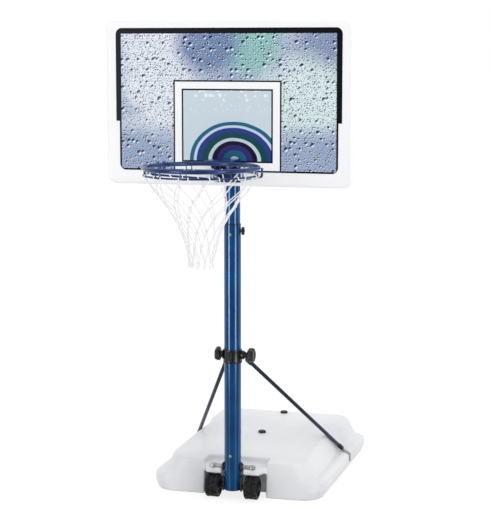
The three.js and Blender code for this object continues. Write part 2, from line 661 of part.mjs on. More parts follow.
// A wheel about X: a dished core with staggered rows of tread blocks.
function wheel() {
  const half = WHEEL_WIDTH / 2;
  const bore = AXLE_RADIUS + RUN_GAP;
  const edge = (WHEEL_RADIUS - WHEEL_CORE_RADIUS) / 2;
  const core = turned([
    [bore, -half],
    [WHEEL_HUB_RADIUS, -half],
    [WHEEL_HUB_RADIUS, WHEEL_DISH_DEPTH - half],
    [WHEEL_DISH_RADIUS, WHEEL_DISH_DEPTH - half],
    [WHEEL_DISH_RADIUS, -half],
    [WHEEL_CORE_RADIUS - edge, -half],
    [WHEEL_CORE_RADIUS, edge - half],
    [WHEEL_CORE_RADIUS, half - edge],
    [WHEEL_CORE_RADIUS - edge, half],
    [WHEEL_DISH_RADIUS, half],
    [WHEEL_DISH_RADIUS, half - WHEEL_DISH_DEPTH],
    [WHEEL_HUB_RADIUS, half - WHEEL_DISH_DEPTH],
    [WHEEL_HUB_RADIUS, half],
    [bore, half],
    [bore, -half],
  ], TREAD_BLOCKS * 2).rotateY(Math.PI / 2);
  const rowWidth = (WHEEL_WIDTH - 2 * edge - (TREAD_ROWS - 1) * TREAD_GROOVE) / TREAD_ROWS;
  const pitch = 360 / TREAD_BLOCKS;
  const rows = [];
  for (let row = 0; row < TREAD_ROWS; row += 1) {
    const low = edge - half + row * (rowWidth + TREAD_GROOVE);
    const phase = row % 2 ? pitch / 2 : 0;
    const outline = [];
    for (let i = 0; i < TREAD_BLOCKS; i += 1) {
      const from = i * pitch + phase;
      const to = from + pitch * TREAD_FILL_SHARE;
      outline.push(...arc(0, 0, WHEEL_RADIUS, from, to, 1));
      outline.push(...arc(0, 0, WHEEL_CORE_RADIUS - edge, to, from + pitch, 1));
    }
    const root = arc(0, 0, WHEEL_CORE_RADIUS * TREAD_ROOT_SHARE, 360, 0, TREAD_BLOCKS).slice(1);
    rows.push(prism(outline, low, low + rowWidth, "x", [root]));
  }
  return join(core, ...rows);
}

// Collar clamped round the lower pole, with a stud and a hand knob on each side.
function makeCollar() {
  const bore = POLE_LOWER_RADIUS + RUN_GAP;
  const face = bore + COLLAR_THICK;
  const ring = turned([
    [bore - COLLAR_EDGE, COLLAR_LOW],
    [face - COLLAR_EDGE, COLLAR_LOW],
    [face, COLLAR_LOW + COLLAR_EDGE],
    [face, COLLAR_HIGH - COLLAR_EDGE],
    [face - COLLAR_EDGE, COLLAR_HIGH],
    [bore - COLLAR_EDGE, COLLAR_HIGH],
    [bore - COLLAR_EDGE, COLLAR_LOW],
  ], POLE_SIDES);
  const at = (x) => [x, 0, STUD_HEIGHT];
  const bosses = Object.entries(SIDES).map(([side, s]) =>
    bar(at(s * (bore - COLLAR_EDGE)), at(s * BOSS_FACES[side]), BOSS_RADIUS, ROUND_SIDES));
  const studHoles = Object.entries(SIDES).map(([side, s]) =>
    bar(at(s * (bore + BOSS_FLOOR)), at(s * (BOSS_FACES[side] + OVERRUN)), STUD_RADIUS + RUN_GAP));
  const clear = bar([0, 0, COLLAR_LOW - OVERRUN], [0, 0, COLLAR_HIGH + OVERRUN], bore, POLE_SIDES);
  add("strut_collar", cut(join(ring, ...bosses), clear, ...studHoles), blackPlastic);

  for (const [side, s] of Object.entries(SIDES)) {
    const eyeFar = BOSS_FACES[side] + SEAT_GAP + EYE_THICK;
    const knobBack = eyeFar + SEAT_GAP;
    const neckEnd = knobBack + KNOB_NECKS[side];
    const knobEnd = neckEnd + KNOB_THICKS[side];
    const studEnd = knobEnd - KNOB_FLOOR - SEAT_GAP;
    const studRoot = bore + BOSS_FLOOR + SEAT_GAP;
    add(`collar_stud_${side}`, bar(at(s * studRoot), at(s * studEnd), STUD_RADIUS), greySteel);
    const body = starKnob(KNOB_THICKS[side]).translate((s * (neckEnd + knobEnd)) / 2, 0, STUD_HEIGHT);
    add(`strut_knob_${side}`, cut(
      join(body, bar(at(s * knobBack), at(s * (neckEnd + KNOB_BEVEL)), KNOB_NECK_RADIUS)),
      bar(at(s * (knobBack - OVERRUN)), at(s * (knobEnd - KNOB_FLOOR)), STUD_RADIUS + RUN_GAP),
    ), blackPlastic);
  }
}

// A lobed hand knob about X, centred on its thickness.
function starKnob(thick) {
  const outline = Array.from({ length: KNOB_STEPS }, (_, i) => {
    const angle = (2 * Math.PI * i) / KNOB_STEPS;
    const radius = KNOB_RADIUS - KNOB_BEVEL - (KNOB_LOBE_DEPTH * (1 - Math.cos(KNOB_LOBES * angle))) / 2;
    return new THREE.Vector2(radius * Math.cos(angle), radius * Math.sin(angle));
  });
  const depth = thick - 2 * KNOB_BEVEL;
  return new THREE.ExtrudeGeometry(new THREE.Shape(outline), {
    depth,
    bevelThickness: KNOB_BEVEL,
    bevelSize: KNOB_BEVEL,
    bevelSegments: KNOB_BEVEL_STEPS,
  }).translate(0, 0, -depth / 2).rotateY(Math.PI / 2).rotateX(Math.PI / 2);
}

// Struts: a steel tube with a plastic eye on the collar's stud, and a boot and hook on the tank's step.
function makeStruts() {
  for (const [side, s] of Object.entries(SIDES)) {
    const top = new THREE.Vector3(s * STRUT_TOP_OUT, STRUT_TOP_BACK, STUD_HEIGHT);
    const end = new THREE.Vector3(s * STRUT_END_OUT, STRUT_END_BACK, STRUT_END_HEIGHT);
    const length = top.distanceTo(end);
    const run = end.clone().sub(top).normalize();
    const along = (distance) => top.clone().addScaledVector(run, distance).toArray();

    add(`strut_tube_${side}`, cut(
      bar(along(STRUT_START), along(length), STRUT_RADIUS),
      bar(along(STRUT_START - OVERRUN), along(length + OVERRUN), STRUT_RADIUS - STRUT_WALL),
    ), navyPaint);

    const eyeNear = BOSS_FACES[side] + SEAT_GAP;
    const eyeFar = eyeNear + EYE_THICK;
    const at = (x) => [s * x, 0, STUD_HEIGHT];
    const fall = new THREE.Vector3(0, run.y, run.z).normalize();
    const eye = new THREE.Vector3(...at((eyeNear + eyeFar) / 2));
    const knee = eye.clone().addScaledVector(fall, KNOB_RADIUS + EYE_THICK / 2).toArray();
    const arm = [
      bar(eye.toArray(), knee, EYE_THICK / 2),
      bar(knee, along(STRUT_START), EYE_THICK / 2, SHAFT_SIDES, EYE_ARM_RADIUS),
    ];
    const sleeve = bar(along(SLEEVE_START), along(SLEEVE_START + SLEEVE_LENGTH), SLEEVE_RADIUS);
    add(`strut_eye_${side}`, cut(
      join(bar(at(eyeNear), at(eyeFar), EYE_RADIUS, ROUND_SIDES), ...arm, sleeve),
      bar(at(eyeNear - OVERRUN), at(eyeFar + OVERRUN), STUD_RADIUS + RUN_GAP),
      bar(along(STRUT_START - SEAT_GAP), along(STRUT_START + SLEEVE_LENGTH), STRUT_RADIUS + SEAT_GAP),
    ), blackPlastic);

    add(`strut_boot_${side}`, cut(
      bar(along(length - BOOT_LENGTH), along(length + SEAT_GAP), BOOT_RADIUS),
      bar(along(length - BOOT_LENGTH - OVERRUN), along(length + OVERRUN), STRUT_RADIUS + SEAT_GAP),
    ), blackPlastic);

    const plug = STRUT_RADIUS - STRUT_WALL - SEAT_GAP;
    const [tipX, tipY, tipZ] = along(length + HOOK_REACH);
    const edgeX = BASE_HALF_WIDTH - BASE_STEP_INSET + RUN_GAP;
    const lipX = BASE_HALF_WIDTH + RUN_GAP;
    const strap = [
      [s * tipX - HOOK_THICK, tipZ],
      [edgeX, BASE_STEP_HEIGHT + RUN_GAP],
      [lipX, BASE_LIP_HEIGHT],
      [lipX + HOOK_THICK, BASE_LIP_HEIGHT],
      [edgeX + HOOK_THICK, BASE_STEP_HEIGHT + HOOK_THICK],
      [s * tipX + HOOK_THICK, tipZ + HOOK_THICK],
    ].map(([x, z]) => [s * x, z]);
    add(`strut_hook_${side}`, join(
      bar(along(length - HOOK_PLUG_LENGTH), along(length + HOOK_REACH), plug),
      prism(strap, tipY - HOOK_WIDTH / 2, tipY + HOOK_WIDTH / 2, "y"),
    ), greySteel);
  }
}

// A slab that stands in the XZ plane between two Y places, with rounded corners and rounded edges.
function slab(halfWidth, low, high, front, back, corner, round) {
  const side = halfWidth - round;
  const outline = roundedOutline(-side, side, low + round, high - round, corner - round);
  const shape = new THREE.Shape(outline.map(([x, z]) => new THREE.Vector2(x, z)));
  const depth = back - front - 2 * round;
  const geometry = new THREE.ExtrudeGeometry(shape, {
    depth,
    bevelThickness: round,
    bevelSize: round,
    bevelSegments: BOARD_ROUND_STEPS,
  });
  return geometry.rotateX(Math.PI / 2).translate(0, back - round, 0);
}

// Backboard: a hollow white moulding with a printed film on its front.
function makeBoard() {
  const top = BOARD_BOTTOM + BOARD_HEIGHT;
  const half = BOARD_WIDTH / 2;
  const moulding = (wall) => slab(
    half - wall,
    BOARD_BOTTOM + wall,
    top - wall,
    BOARD_FRONT + wall,
    BOARD_BACK - wall,
    BOARD_CORNER - wall,
    BOARD_ROUND,
  );
  const boltHoles = rimBoltPlaces().map(([x, z]) =>
    bar([x, GRAPHIC_FRONT - OVERRUN, z], [x, BOARD_BACK + OVERRUN, z], RIM_BOLT_RADIUS + RUN_GAP));
  const screwHoles = mountScrewPlaces().map(([x, z]) =>
    bar([x, BOARD_BACK - BOARD_WALL - OVERRUN, z], [x, BOARD_BACK + OVERRUN, z], SCREW_RADIUS + RUN_GAP));
  const panel = cut(moulding(0), moulding(BOARD_WALL), ...boltHoles, ...screwHoles);
  add("board_panel", panel, whitePlastic);

  const wide = half - GRAPHIC_SIDE_MARGIN;
  const narrow = wide - GRAPHIC_STEP;
  const step = BOARD_BOTTOM + GRAPHIC_STEP_RISE;
  const low = BOARD_BOTTOM + GRAPHIC_BOTTOM_MARGIN + GRAPHIC_CORNER;
  const high = top - GRAPHIC_TOP_MARGIN - GRAPHIC_CORNER;
  const film = prism([
    ...arc(wide - GRAPHIC_CORNER, high, GRAPHIC_CORNER, 0, 90, CORNER_STEPS),
    ...arc(GRAPHIC_CORNER - wide, high, GRAPHIC_CORNER, 90, 180, CORNER_STEPS),
    [-wide, step],
    [-narrow, step],
    ...arc(GRAPHIC_CORNER - narrow, low, GRAPHIC_CORNER, 180, 270, CORNER_STEPS),
    ...arc(narrow - GRAPHIC_CORNER, low, GRAPHIC_CORNER, 270, 360, CORNER_STEPS),
    [narrow, step],
    [wide, step],
  ], GRAPHIC_FRONT, GRAPHIC_FRONT + GRAPHIC_THICK, "y");
  add("board_graphic", cut(film, ...boltHoles), printedFilm);
}

function rimBoltPlaces() {
  return [RIM_BOLT_LOW, RIM_BOLT_HIGH].flatMap((z) => [[-RIM_BOLT_SPREAD, z], [RIM_BOLT_SPREAD, z]]);
}

function mountScrewPlaces() {
  return [-MOUNT_SCREW_RISE, MOUNT_SCREW_RISE].flatMap((rise) =>
    [-MOUNT_SCREW_SPREAD, MOUNT_SCREW_SPREAD].map((x) => [x, MOUNT_HIGH_CENTRE + rise]));
}

// Mounts: two bent plates behind the board, each with a pair of ears bolted through the upper pole.
function makeMounts() {
  const face = BOARD_BACK + SEAT_GAP;
  const web = face + MOUNT_PLATE;
  const earIn = POLE_UPPER_RADIUS + RUN_GAP;
  const earOut = earIn + MOUNT_PLATE;
  const section = [
    [-MOUNT_HALF_WIDTH, face],
    [MOUNT_HALF_WIDTH, face],
    [MOUNT_HALF_WIDTH, web],
    [earOut, web],
    [earOut, MOUNT_EAR_REAR],
    [earIn, MOUNT_EAR_REAR],
    [earIn, web],
    [-earIn, web],
    [-earIn, MOUNT_EAR_REAR],
    [-earOut, MOUNT_EAR_REAR],
    [-earOut, web],
    [-MOUNT_HALF_WIDTH, web],
  ];
  const screws = mountScrewPlaces();
  for (const [place, centre] of [["lower", MOUNT_LOW_CENTRE], ["upper", MOUNT_HIGH_CENTRE]]) {
    const plate = prism(section, centre - MOUNT_HEIGHT / 2, centre + MOUNT_HEIGHT / 2, "z");
    const places = place === "upper" ? screws : rimBoltPlaces();
    const radius = place === "upper" ? SCREW_RADIUS : RIM_BOLT_RADIUS;
    const holes = places.map(([x, z]) =>
      bar([x, face - OVERRUN, z], [x, web + OVERRUN, z], radius + RUN_GAP));
    const at = (x) => [x, 0, centre];
    holes.push(bar(at(-earOut - OVERRUN), at(earOut + OVERRUN), MOUNT_BOLT_RADIUS + RUN_GAP));
    add(`board_mount_${place}`, cut(plate, ...holes), greySteel);

    const seat = earOut + SEAT_GAP;
    const far = seat + MOUNT_HEAD_THICK;
    add(`mount_bolt_${place}`, join(
      bar(at(-seat), at(-far), MOUNT_HEAD_RADIUS, HEX_SIDES),
      bar(at(-(seat + far) / 2), at(far + SEAT_GAP), MOUNT_BOLT_RADIUS),
    ), greySteel);
    add(`mount_nut_${place}`, cut(
      bar(at(seat), at(far), MOUNT_HEAD_RADIUS, HEX_SIDES),
      bar(at(seat - OVERRUN), at(far + OVERRUN), MOUNT_BOLT_RADIUS + RUN_GAP),
    ), greySteel);
  }
  screws.forEach(([x, z], i) => {
    const seat = web + SEAT_GAP;
    const head = seat + SCREW_HEAD_THICK;
    const tip = seat - MOUNT_SCREW_LENGTH;
    add(`mount_screw_${i + 1}`, join(
      bar([x, tip, z], [x, (seat + head) / 2, z], SCREW_RADIUS),
      bar([x, seat, z], [x, head, z], SCREW_HEAD_RADIUS, SHAFT_SIDES, SCREW_RADIUS),
    ), greySteel);
  });
}

// Rim: a steel ring with a thinner wire ring hung under it on loops, a folded bracket and two brace rods.
function makeRim() {
  const hoopOf = (radius, height, sides) =>
    new THREE.TorusGeometry(RIM_RADIUS, radius, sides, RING_STEPS).translate(0, RIM_CENTRE, height);
  const loops = Array.from({ length: HOOK_COUNT }, (_, i) => {
    const outer = LOOP_WIDTH / 2;
    const inner = outer - LOOP_WIRE;
    const foot = -RIM_ROD_RADIUS - LOOP_DROP;
    const loop = prism([
      [-outer, 0], [-outer, foot], [outer, foot], [outer, 0],
      [inner, 0], [inner, foot + LOOP_WIRE], [-inner, foot + LOOP_WIRE], [-inner, 0],
    ], -LOOP_WIRE / 2, LOOP_WIRE / 2, "y");
    return loop.translate(0, RIM_RADIUS, 0)
      .rotateZ((2 * Math.PI * i) / HOOK_COUNT - Math.PI / 2)
      .translate(0, RIM_CENTRE, RIM_HEIGHT);
  });
  const ring = hoopOf(RIM_ROD_RADIUS, RIM_HEIGHT, RING_SIDES);
  const wire = hoopOf(RIM_WIRE_RADIUS, RIM_WIRE_HEIGHT, WIRE_SIDES);
  add("rim_ring", join(ring, wire, ...loops), rimPaint);

  const plateRear = GRAPHIC_FRONT - SEAT_GAP;
  const plateFront = plateRear - BRACKET_PLATE;
  const deckLow = RIM_HEIGHT + RIM_ROD_RADIUS + SEAT_GAP;
  const deckHigh = deckLow + BRACKET_PLATE;
  const foot = BOARD_BOTTOM + BRACKET_FOOT;
  const ringRear = RIM_CENTRE + RIM_RADIUS;
  const noseFront = ringRear + RIM_ROD_RADIUS + SEAT_GAP + RUN_GAP;
  const back = block([-BRACKET_HALF_WIDTH, plateFront, foot], [BRACKET_HALF_WIDTH, plateRear, deckHigh]);
  const deck = block([-BRACKET_HALF_WIDTH, ringRear, deckLow], [BRACKET_HALF_WIDTH, plateRear, deckHigh]);
  const cheeks = [-CHEEK_PLACE, CHEEK_PLACE - BRACKET_PLATE].map((x) => prism([
    [plateRear - BRACKET_PLATE / 2, foot],
    [plateRear - BRACKET_PLATE / 2, deckHigh - BRACKET_PLATE / 2],
    [noseFront, deckHigh - BRACKET_PLATE / 2],
    [noseFront, deckLow - CHEEK_NOSE],
    [plateFront, foot],
  ], x, x + BRACKET_PLATE, "x"));
  const boltHoles = rimBoltPlaces().map(([x, z]) =>
    bar([x, plateFront - OVERRUN, z], [x, plateRear + OVERRUN, z], RIM_BOLT_RADIUS + RUN_GAP));
  add("rim_bracket", cut(join(back, deck, ...cheeks), ...boltHoles), rimPaint);

  const mountFace = BOARD_BACK + SEAT_GAP + MOUNT_PLATE;
  rimBoltPlaces().forEach(([x, z], i) => {
    const at = (y) => [x, y, z];
    const headBack = plateFront - SEAT_GAP;
    const headFront = headBack - RIM_BOLT_HEAD_THICK;
    const nutFace = mountFace + SEAT_GAP;
    const nutEnd = nutFace + MOUNT_HEAD_THICK;
    add(`rim_bolt_${i + 1}`, join(
      bar(at(headBack), at(headFront), RIM_BOLT_HEAD_RADIUS, SHAFT_SIDES, RIM_BOLT_RADIUS),
      bar(at((headBack + headFront) / 2), at(nutEnd + SEAT_GAP), RIM_BOLT_RADIUS),
      bar(at(nutFace), at(nutEnd), RIM_NUT_RADIUS, HEX_SIDES),
    ), greySteel);
  });

  for (const [side, s] of Object.entries(SIDES)) {
    const angle = Math.PI / HOOK_COUNT;
    const reach = RIM_RADIUS + RIM_ROD_RADIUS + SEAT_GAP + BRACE_RADIUS;
    const tip = [s * reach * Math.cos(angle), RIM_CENTRE + reach * Math.sin(angle), RIM_HEIGHT];
    const bend = [tip[0], tip[1], RIM_HEIGHT - RIM_ROD_RADIUS - BRACE_DROP];
    const footX = s * (BRACKET_HALF_WIDTH - BRACE_RADIUS);
    const start = [footX, plateFront - SEAT_GAP - BRACE_RADIUS, foot + BRACE_FOOT_RISE];
    add(`rim_brace_${side}`, join(
      bar(start, bend, BRACE_RADIUS, WIRE_SIDES),
      bar(bend, tip, BRACE_RADIUS, WIRE_SIDES),
      new THREE.SphereGeometry(BRACE_RADIUS, WIRE_SIDES, WIRE_SIDES).translate(...bend),
    ), rimPaint);
  }
}

// A closed body from a sheet of four-sided faces, with an outer and an inner place for each corner.
function thickSheet(outer, inner, quads) {
  const count = outer.length;
  const faces = [];
  const edges = new Set(quads.flatMap(([a, b, c, d]) =>
    [`${a} ${b}`, `${b} ${c}`, `${c} ${d}`, `${d} ${a}`]));
  for (const [a, b, c, d] of quads) {
    faces.push(a, b, c, a, c, d, count + a, count + c, count + b, count + a, count + d, count + c);
    for (const [from, to] of [[a, b], [b, c], [c, d], [d, a]]) {
      if (!edges.has(`${to} ${from}`)) faces.push(to, from, count + from, to, count + from, count + to);
    }
  }
  const geometry = new THREE.BufferGeometry();
  geometry.setAttribute("position", new THREE.Float32BufferAttribute([...outer, ...inner].flat(), 3));
  geometry.setIndex(faces);
  return geometry;
}

// Net: a lattice of cords in rows of diamonds, hung from the rim's wire by cord links.
function makeNet() {
  const pitch = (2 * Math.PI) / NET_COLUMNS;
  const linkBore = (LINK_RADIUS - LINK_WIRE) * Math.cos(Math.PI / WIRE_SIDES);
  const linkHeight = RIM_WIRE_HEIGHT + RIM_WIRE_RADIUS + SEAT_GAP - linkBore;
  const radii = [RIM_RADIUS, ...NET_RADIUS_SHARES.map((share) => NET_TOP_RADIUS * share)];
  const heights = [
    linkHeight - LINK_RADIUS,
    ...NET_DROP_SHARES.map((share) => RIM_HEIGHT - NET_LENGTH * share),
  ];
  const rows = radii.length;
  const outer = [];
  const inner = [];
  for (let row = 0; row < rows; row += 1) {
    const [above, below] = [Math.max(row - 1, 0), Math.min(row + 1, rows - 1)];
    const drop = (heights[above] - heights[below]) / (below - above);
    const slant = (radii[above] - radii[below]) / (below - above);
    const spread = (radii[row] * pitch) / 2;
    const length = Math.hypot(spread, drop, slant);
    const rise = (CORD_RADIUS * length) / spread;
    const reach = (CORD_RADIUS * length) / Math.hypot(drop, slant);
    for (let column = 0; column < NET_COLUMNS; column += 1) {
      const angle = pitch * (column + row / 2);
      const corner = (side, up, out) => {
        const radius = radii[row] + out * CORD_RADIUS + (up * rise * slant) / Math.hypot(drop, slant);
        const turn = angle + (side * reach) / radii[row];
        const height = heights[row] + (up * rise * drop) / Math.hypot(drop, slant);
        return [radius * Math.cos(turn), RIM_CENTRE + radius * Math.sin(turn), height];
      };
      for (const [side, up] of [[0, 1], [1, 0], [0, -1], [-1, 0]]) {
        outer.push(corner(side, up, 1));
        inner.push(corner(side, up, -1));
      }
    }
  }
  const knot = (row, column, place) => {
    const number = row * NET_COLUMNS + ((column + NET_COLUMNS) % NET_COLUMNS);
    return number * KNOT_PLACES.length + KNOT_PLACES.indexOf(place);
  };
  const quads = [];
  for (let row = 0; row < rows; row += 1) {
    for (let column = 0; column < NET_COLUMNS; column += 1) {
      quads.push(KNOT_PLACES.map((place) => knot(row, column, place)));
      if (row + 1 === rows) continue;
      const foot = knot(row, column, "foot");
      const [rightTop, rightSide] = ["top", "left"].map((place) => knot(row + 1, column, place));
      const [leftTop, leftSide] = ["top", "right"].map((place) => knot(row + 1, column - 1, place));
      quads.push([knot(row, column, "right"), rightTop, rightSide, foot]);
      quads.push([knot(row, column, "left"), foot, leftSide, leftTop]);
    }
  }
  const links = Array.from({ length: NET_COLUMNS }, (_, column) =>
    new THREE.TorusGeometry(LINK_RADIUS, LINK_WIRE, LINK_SIDES, WIRE_SIDES)
      .rotateX(Math.PI / 2)
      .translate(RIM_RADIUS, 0, linkHeight)
      .rotateZ(pitch * column)
      .translate(0, RIM_CENTRE, 0));
  add("net", join(thickSheet(outer, inner, quads), ...links), whiteCord);
}

makeBase();
makePoles();
makeLock();
makeFoot();
makeCollar();
makeStruts();
makeBoard();
makeMounts();
makeRim();
makeNet();

export default hoop;
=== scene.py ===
import math

import bpy
import numpy as np
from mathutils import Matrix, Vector


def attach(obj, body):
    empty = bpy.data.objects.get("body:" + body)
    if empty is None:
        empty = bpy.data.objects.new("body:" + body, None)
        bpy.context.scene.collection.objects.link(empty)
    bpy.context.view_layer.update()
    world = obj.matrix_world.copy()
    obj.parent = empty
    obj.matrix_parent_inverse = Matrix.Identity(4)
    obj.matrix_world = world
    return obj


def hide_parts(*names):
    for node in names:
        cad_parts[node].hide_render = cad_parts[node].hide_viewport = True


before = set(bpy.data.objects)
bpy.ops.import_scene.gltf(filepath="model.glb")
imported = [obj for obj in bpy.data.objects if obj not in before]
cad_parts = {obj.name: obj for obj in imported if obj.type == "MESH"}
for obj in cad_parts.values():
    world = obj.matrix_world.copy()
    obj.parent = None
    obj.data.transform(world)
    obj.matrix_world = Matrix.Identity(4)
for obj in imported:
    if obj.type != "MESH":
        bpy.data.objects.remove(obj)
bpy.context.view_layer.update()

# Ballast tank
# The blow-moulded polyethylene tank that the hoop stands on. Its sides are stepped, its deck slopes down
# to the front, and a notch there leaves room for the pole's foot, which stands on a moulded shelf.
# Sizes in this file are in millimetres from the floor under the pole, with the rim towards -Y.
POLE_Y = -549.5
TANK_HALF, TANK_FRONT, TANK_REAR, TANK_DECK, TANK_CORNER = 409, 31, 1068, 182, 95
SHOULDER_FRONT, SHOULDER_REAR, SHOULDER_CORNER = 650, 1059, 60
TANK_MIDDLE, SHOULDER_MIDDLE = 600, 860
TANK_SIDE = [(0, 17), (38, 0), (72, 2), (84, 24), (90, 58), (102, 58), (168, 90), (182, 104)]
SHOULDER_SIDE = [(72, 40), (90, 40), (168, 72), (182, 86)]
FRONT_LEAN = 0.088
SLOPE_START, SLOPE_END, SLOPE_DROP, LIP_DROP = 430, 40, 22, 9
NOTCH_HALF, NOTCH_REAR = 146, 120
SHELF_TOP, SHELF_THICK, SHELF_ROUND = 138.2, 26, 9
PLAN_POINTS = 360
MOULD_CELL, MOULD_PASSES = 0.0055, 2
AXES = {"x": [2, 0, 1], "y": [0, 2, 1], "z": [0, 1, 2]}


def ink(red, green, blue):
    """A colour from its 0 to 255 values, in the linear light that shaders work in."""
    share = np.array([red, green, blue]) / 255
    light = np.where(share <= 0.04045, share / 12.92, ((share + 0.055) / 1.055) ** 2.4)
    return (*light.tolist(), 1.0)


def roundbox(low, high, corner, steps):
    """Points round a rectangle with round corners: each corner's centre plus a quarter of a circle."""
    turn = np.linspace(0, np.pi / 2, steps + 1) + np.arange(4)[:, None] * np.pi / 2
    across = np.array([high[0] - corner, low[0] + corner, low[0] + corner, high[0] - corner])
    up = np.array([high[1] - corner, high[1] - corner, low[1] + corner, low[1] + corner])
    points = np.stack([across[:, None] + corner * np.cos(turn), up[:, None] + corner * np.sin(turn)], -1)
    return points.reshape(-1, 2)


def spread(line, count):
    """The given number of points at even distances along a closed line."""
    ring = np.vstack([line, line[:1]])
    run = np.append(0, np.cumsum(np.linalg.norm(np.diff(ring, axis=0), axis=1)))
    at = np.linspace(0, run[-1], count, endpoint=False)
    return np.stack([np.interp(at, run, part) for part in ring.T], -1)


def eased(line, radius, steps=4, loop=False):
    """A line with its corners rounded: (1-t)^2 a + 2t(1-t) corner + t^2 b, where a and b lie on the two
    arms of the corner, at the radius from it or nearly half way along a shorter arm."""
    line = np.asarray(line, float)
    arms = [np.roll(line, 1, 0) - line, np.roll(line, -1, 0) - line]
    lengths = [np.maximum(np.linalg.norm(arm, axis=1, keepdims=True), 1e-6) for arm in arms]
    a, b = [line + arm * np.minimum(radius / length, 0.48) for arm, length in zip(arms, lengths)]
    if not loop:
        a[[0, -1]], b[[0, -1]] = line[[0, -1]], line[[0, -1]]
    t = np.linspace(0, 1, steps + 1)[None, :, None]
    curve = (1 - t) ** 2 * a[:, None] + 2 * t * (1 - t) * line[:, None] + t ** 2 * b[:, None]
    if loop:
        return curve.reshape(-1, line.shape[1])
    return np.vstack([line[:1], curve[1:-1].reshape(-1, line.shape[1]), line[-1:]])


def skin(rings, loop=False, along=None):
    """A closed skin over n rings of m points: quad (i, j) joins points j and j+1 of rings i and i+1. The
    two end rings are filled, or join each other in a loop. UV is (share of the ring, distance along).
    Where the volume inside comes out negative, every face is turned round."""
    n, m = rings.shape[:2]
    along = np.arange(n + 1.0) if along is None else along
    i, j = [index.ravel() for index in np.indices((n if loop else n - 1, m))]
    near, far, left, right = i * m, (i + 1) % n * m, j, (j + 1) % m
    quads = np.stack([near + left, near + right, far + right, far + left], 1)
    uv = np.stack([np.stack([j, j + 1, j + 1, j], 1) / m, along[np.stack([i, i, i + 1, i + 1], 1)]], 2)
    first = np.arange(m)
    ends = np.zeros((0, m), int) if loop else np.stack([first[::-1], (n - 1) * m + first])
    points = rings.reshape(-1, 3)
    corners = points - points.mean(0)
    fans = np.concatenate([
        quads[:, [0, 1, 2]], quads[:, [0, 2, 3]],
        *[np.stack([np.full(m - 2, end[0]), end[1:-1], end[2:]], 1) for end in ends]])
    a, b, c = corners[fans[:, 0]], corners[fans[:, 1]], corners[fans[:, 2]]
    if np.sum(a * np.cross(b, c)) < 0:
        quads, uv, ends = quads[:, ::-1], uv[:, ::-1], ends[:, ::-1]
    flat = np.zeros((ends.size, 2))
    return points, [*quads.tolist(), *ends.tolist()], np.concatenate([uv.reshape(-1, 2), flat])


def gather(*parts):
    """Several skins as one: each part's face corners count on from the last part's points."""
    starts = np.cumsum([0] + [len(part[0]) for part in parts])
    faces = [[corner + int(start) for corner in face] for part, start in zip(parts, starts) for face in part[1]]
    return np.vstack([part[0] for part in parts]), faces, np.vstack([part[2] for part in parts])


def put(name, data):
    """A new object in the scene, with its mesh, lamp or camera."""
    thing = bpy.data.objects.new(name, data)
    bpy.context.scene.collection.objects.link(thing)
    return thing


def lay(name, part, sharp=38):
    """An object from a skin, moved from millimetres about the pole to metres about the base's middle. It
    is shaded smooth, but for edges that turn by more than the sharp angle in degrees."""
    points, faces, uv = part
    mesh = bpy.data.meshes.new(name)
    mesh.from_pydata(((points + [0, POLE_Y, 0]) * 0.001).tolist(), [], faces)
    layer = mesh.uv_layers.new(name="run")
    layer.data.foreach_set("uv", uv.ravel())
    mesh.polygons.foreach_set("use_smooth", np.ones(len(faces), bool))
    mesh.set_sharp_from_angle(angle=math.radians(sharp))
    return put(name, mesh)


def prism(outline, low, high):
    """An outline of (x, y) points carried up from low to high."""
    return skin(np.stack([np.column_stack([outline, np.full(len(outline), level)]) for level in (low, high)]))


def fit(piece, material, body, slot, *nodes):
    """Gives a piece its finish and the body that it moves with, and hides the nodes it stands for. The slot is
    not used.
    """
    piece.data.materials.append(material)
    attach(piece, body)
    if nodes:
        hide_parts(*nodes)


def wire(node, inputs):
    """Sets each input of a shader node to a value, or links it where a socket is given."""
    for key, value in inputs.items():
        if isinstance(value, bpy.types.NodeSocket):
            node.id_data.links.new(value, node.inputs[key])
        else:
            node.inputs[key].default_value = value
    return node


def grow(tree, kind, inputs={}, **settings):
    """A new shader node with its settings and its inputs."""
    node = tree.nodes.new("ShaderNode" + kind)
    for name, value in settings.items():
        setattr(node, name, value)
    return wire(node, inputs)


def blank(name):
    """A new material and its node tree."""
    material = bpy.data.materials.new(name)
    material.use_nodes = True
    return material, material.node_tree


def tone_ramp(tree, value, stops, interpolation="LINEAR"):
    """The colour that a value has on a ramp of (place, tone) stops."""
    node = grow(tree, "ValToRGB", {"Fac": value})
    ramp = node.color_ramp
    ramp.interpolation = interpolation
    while len(ramp.elements) < len(stops):
        ramp.elements.new(0.5)
    for stop, (at, tone) in zip(ramp.elements, stops):
        stop.position, stop.color = at, ink(*tone)
    return node.outputs["Color"]


def finish(name, tones, patch, grain, relief, roughness, metallic=0.0, specular=0.5, shift=0.06):
    """A material whose colour drifts between its tones over patches, with a fine grain that raises the
    surface by the relief and moves its roughness by the shift. Patch, grain and relief are in metres."""
    material, tree = blank(name)
    place = grow(tree, "TexCoord").outputs["Object"]
    drift, fine = [
        grow(tree, "TexNoise", {"Vector": place, "Scale": 1 / width, "Detail": detail}).outputs["Fac"]
        for width, detail in ((patch, 4), (grain, 3))]
    colour = tone_ramp(tree, drift, list(zip(np.linspace(0.36, 0.64, len(tones)), tones)))
    shine = grow(
        tree, "MapRange", {"Value": fine, "From Min": 0.3, "From Max": 0.7, "To Min": roughness - shift,
        "To Max": roughness + shift})
    bump = grow(tree, "Bump", {"Height": fine, "Distance": relief}, name="relief")
    wire(tree.nodes["Principled BSDF"], {
        "Base Color": colour, "Roughness": shine.outputs["Result"], "Normal": bump.outputs["Normal"],
        "Metallic": metallic, "Specular IOR Level": specular})
    return material


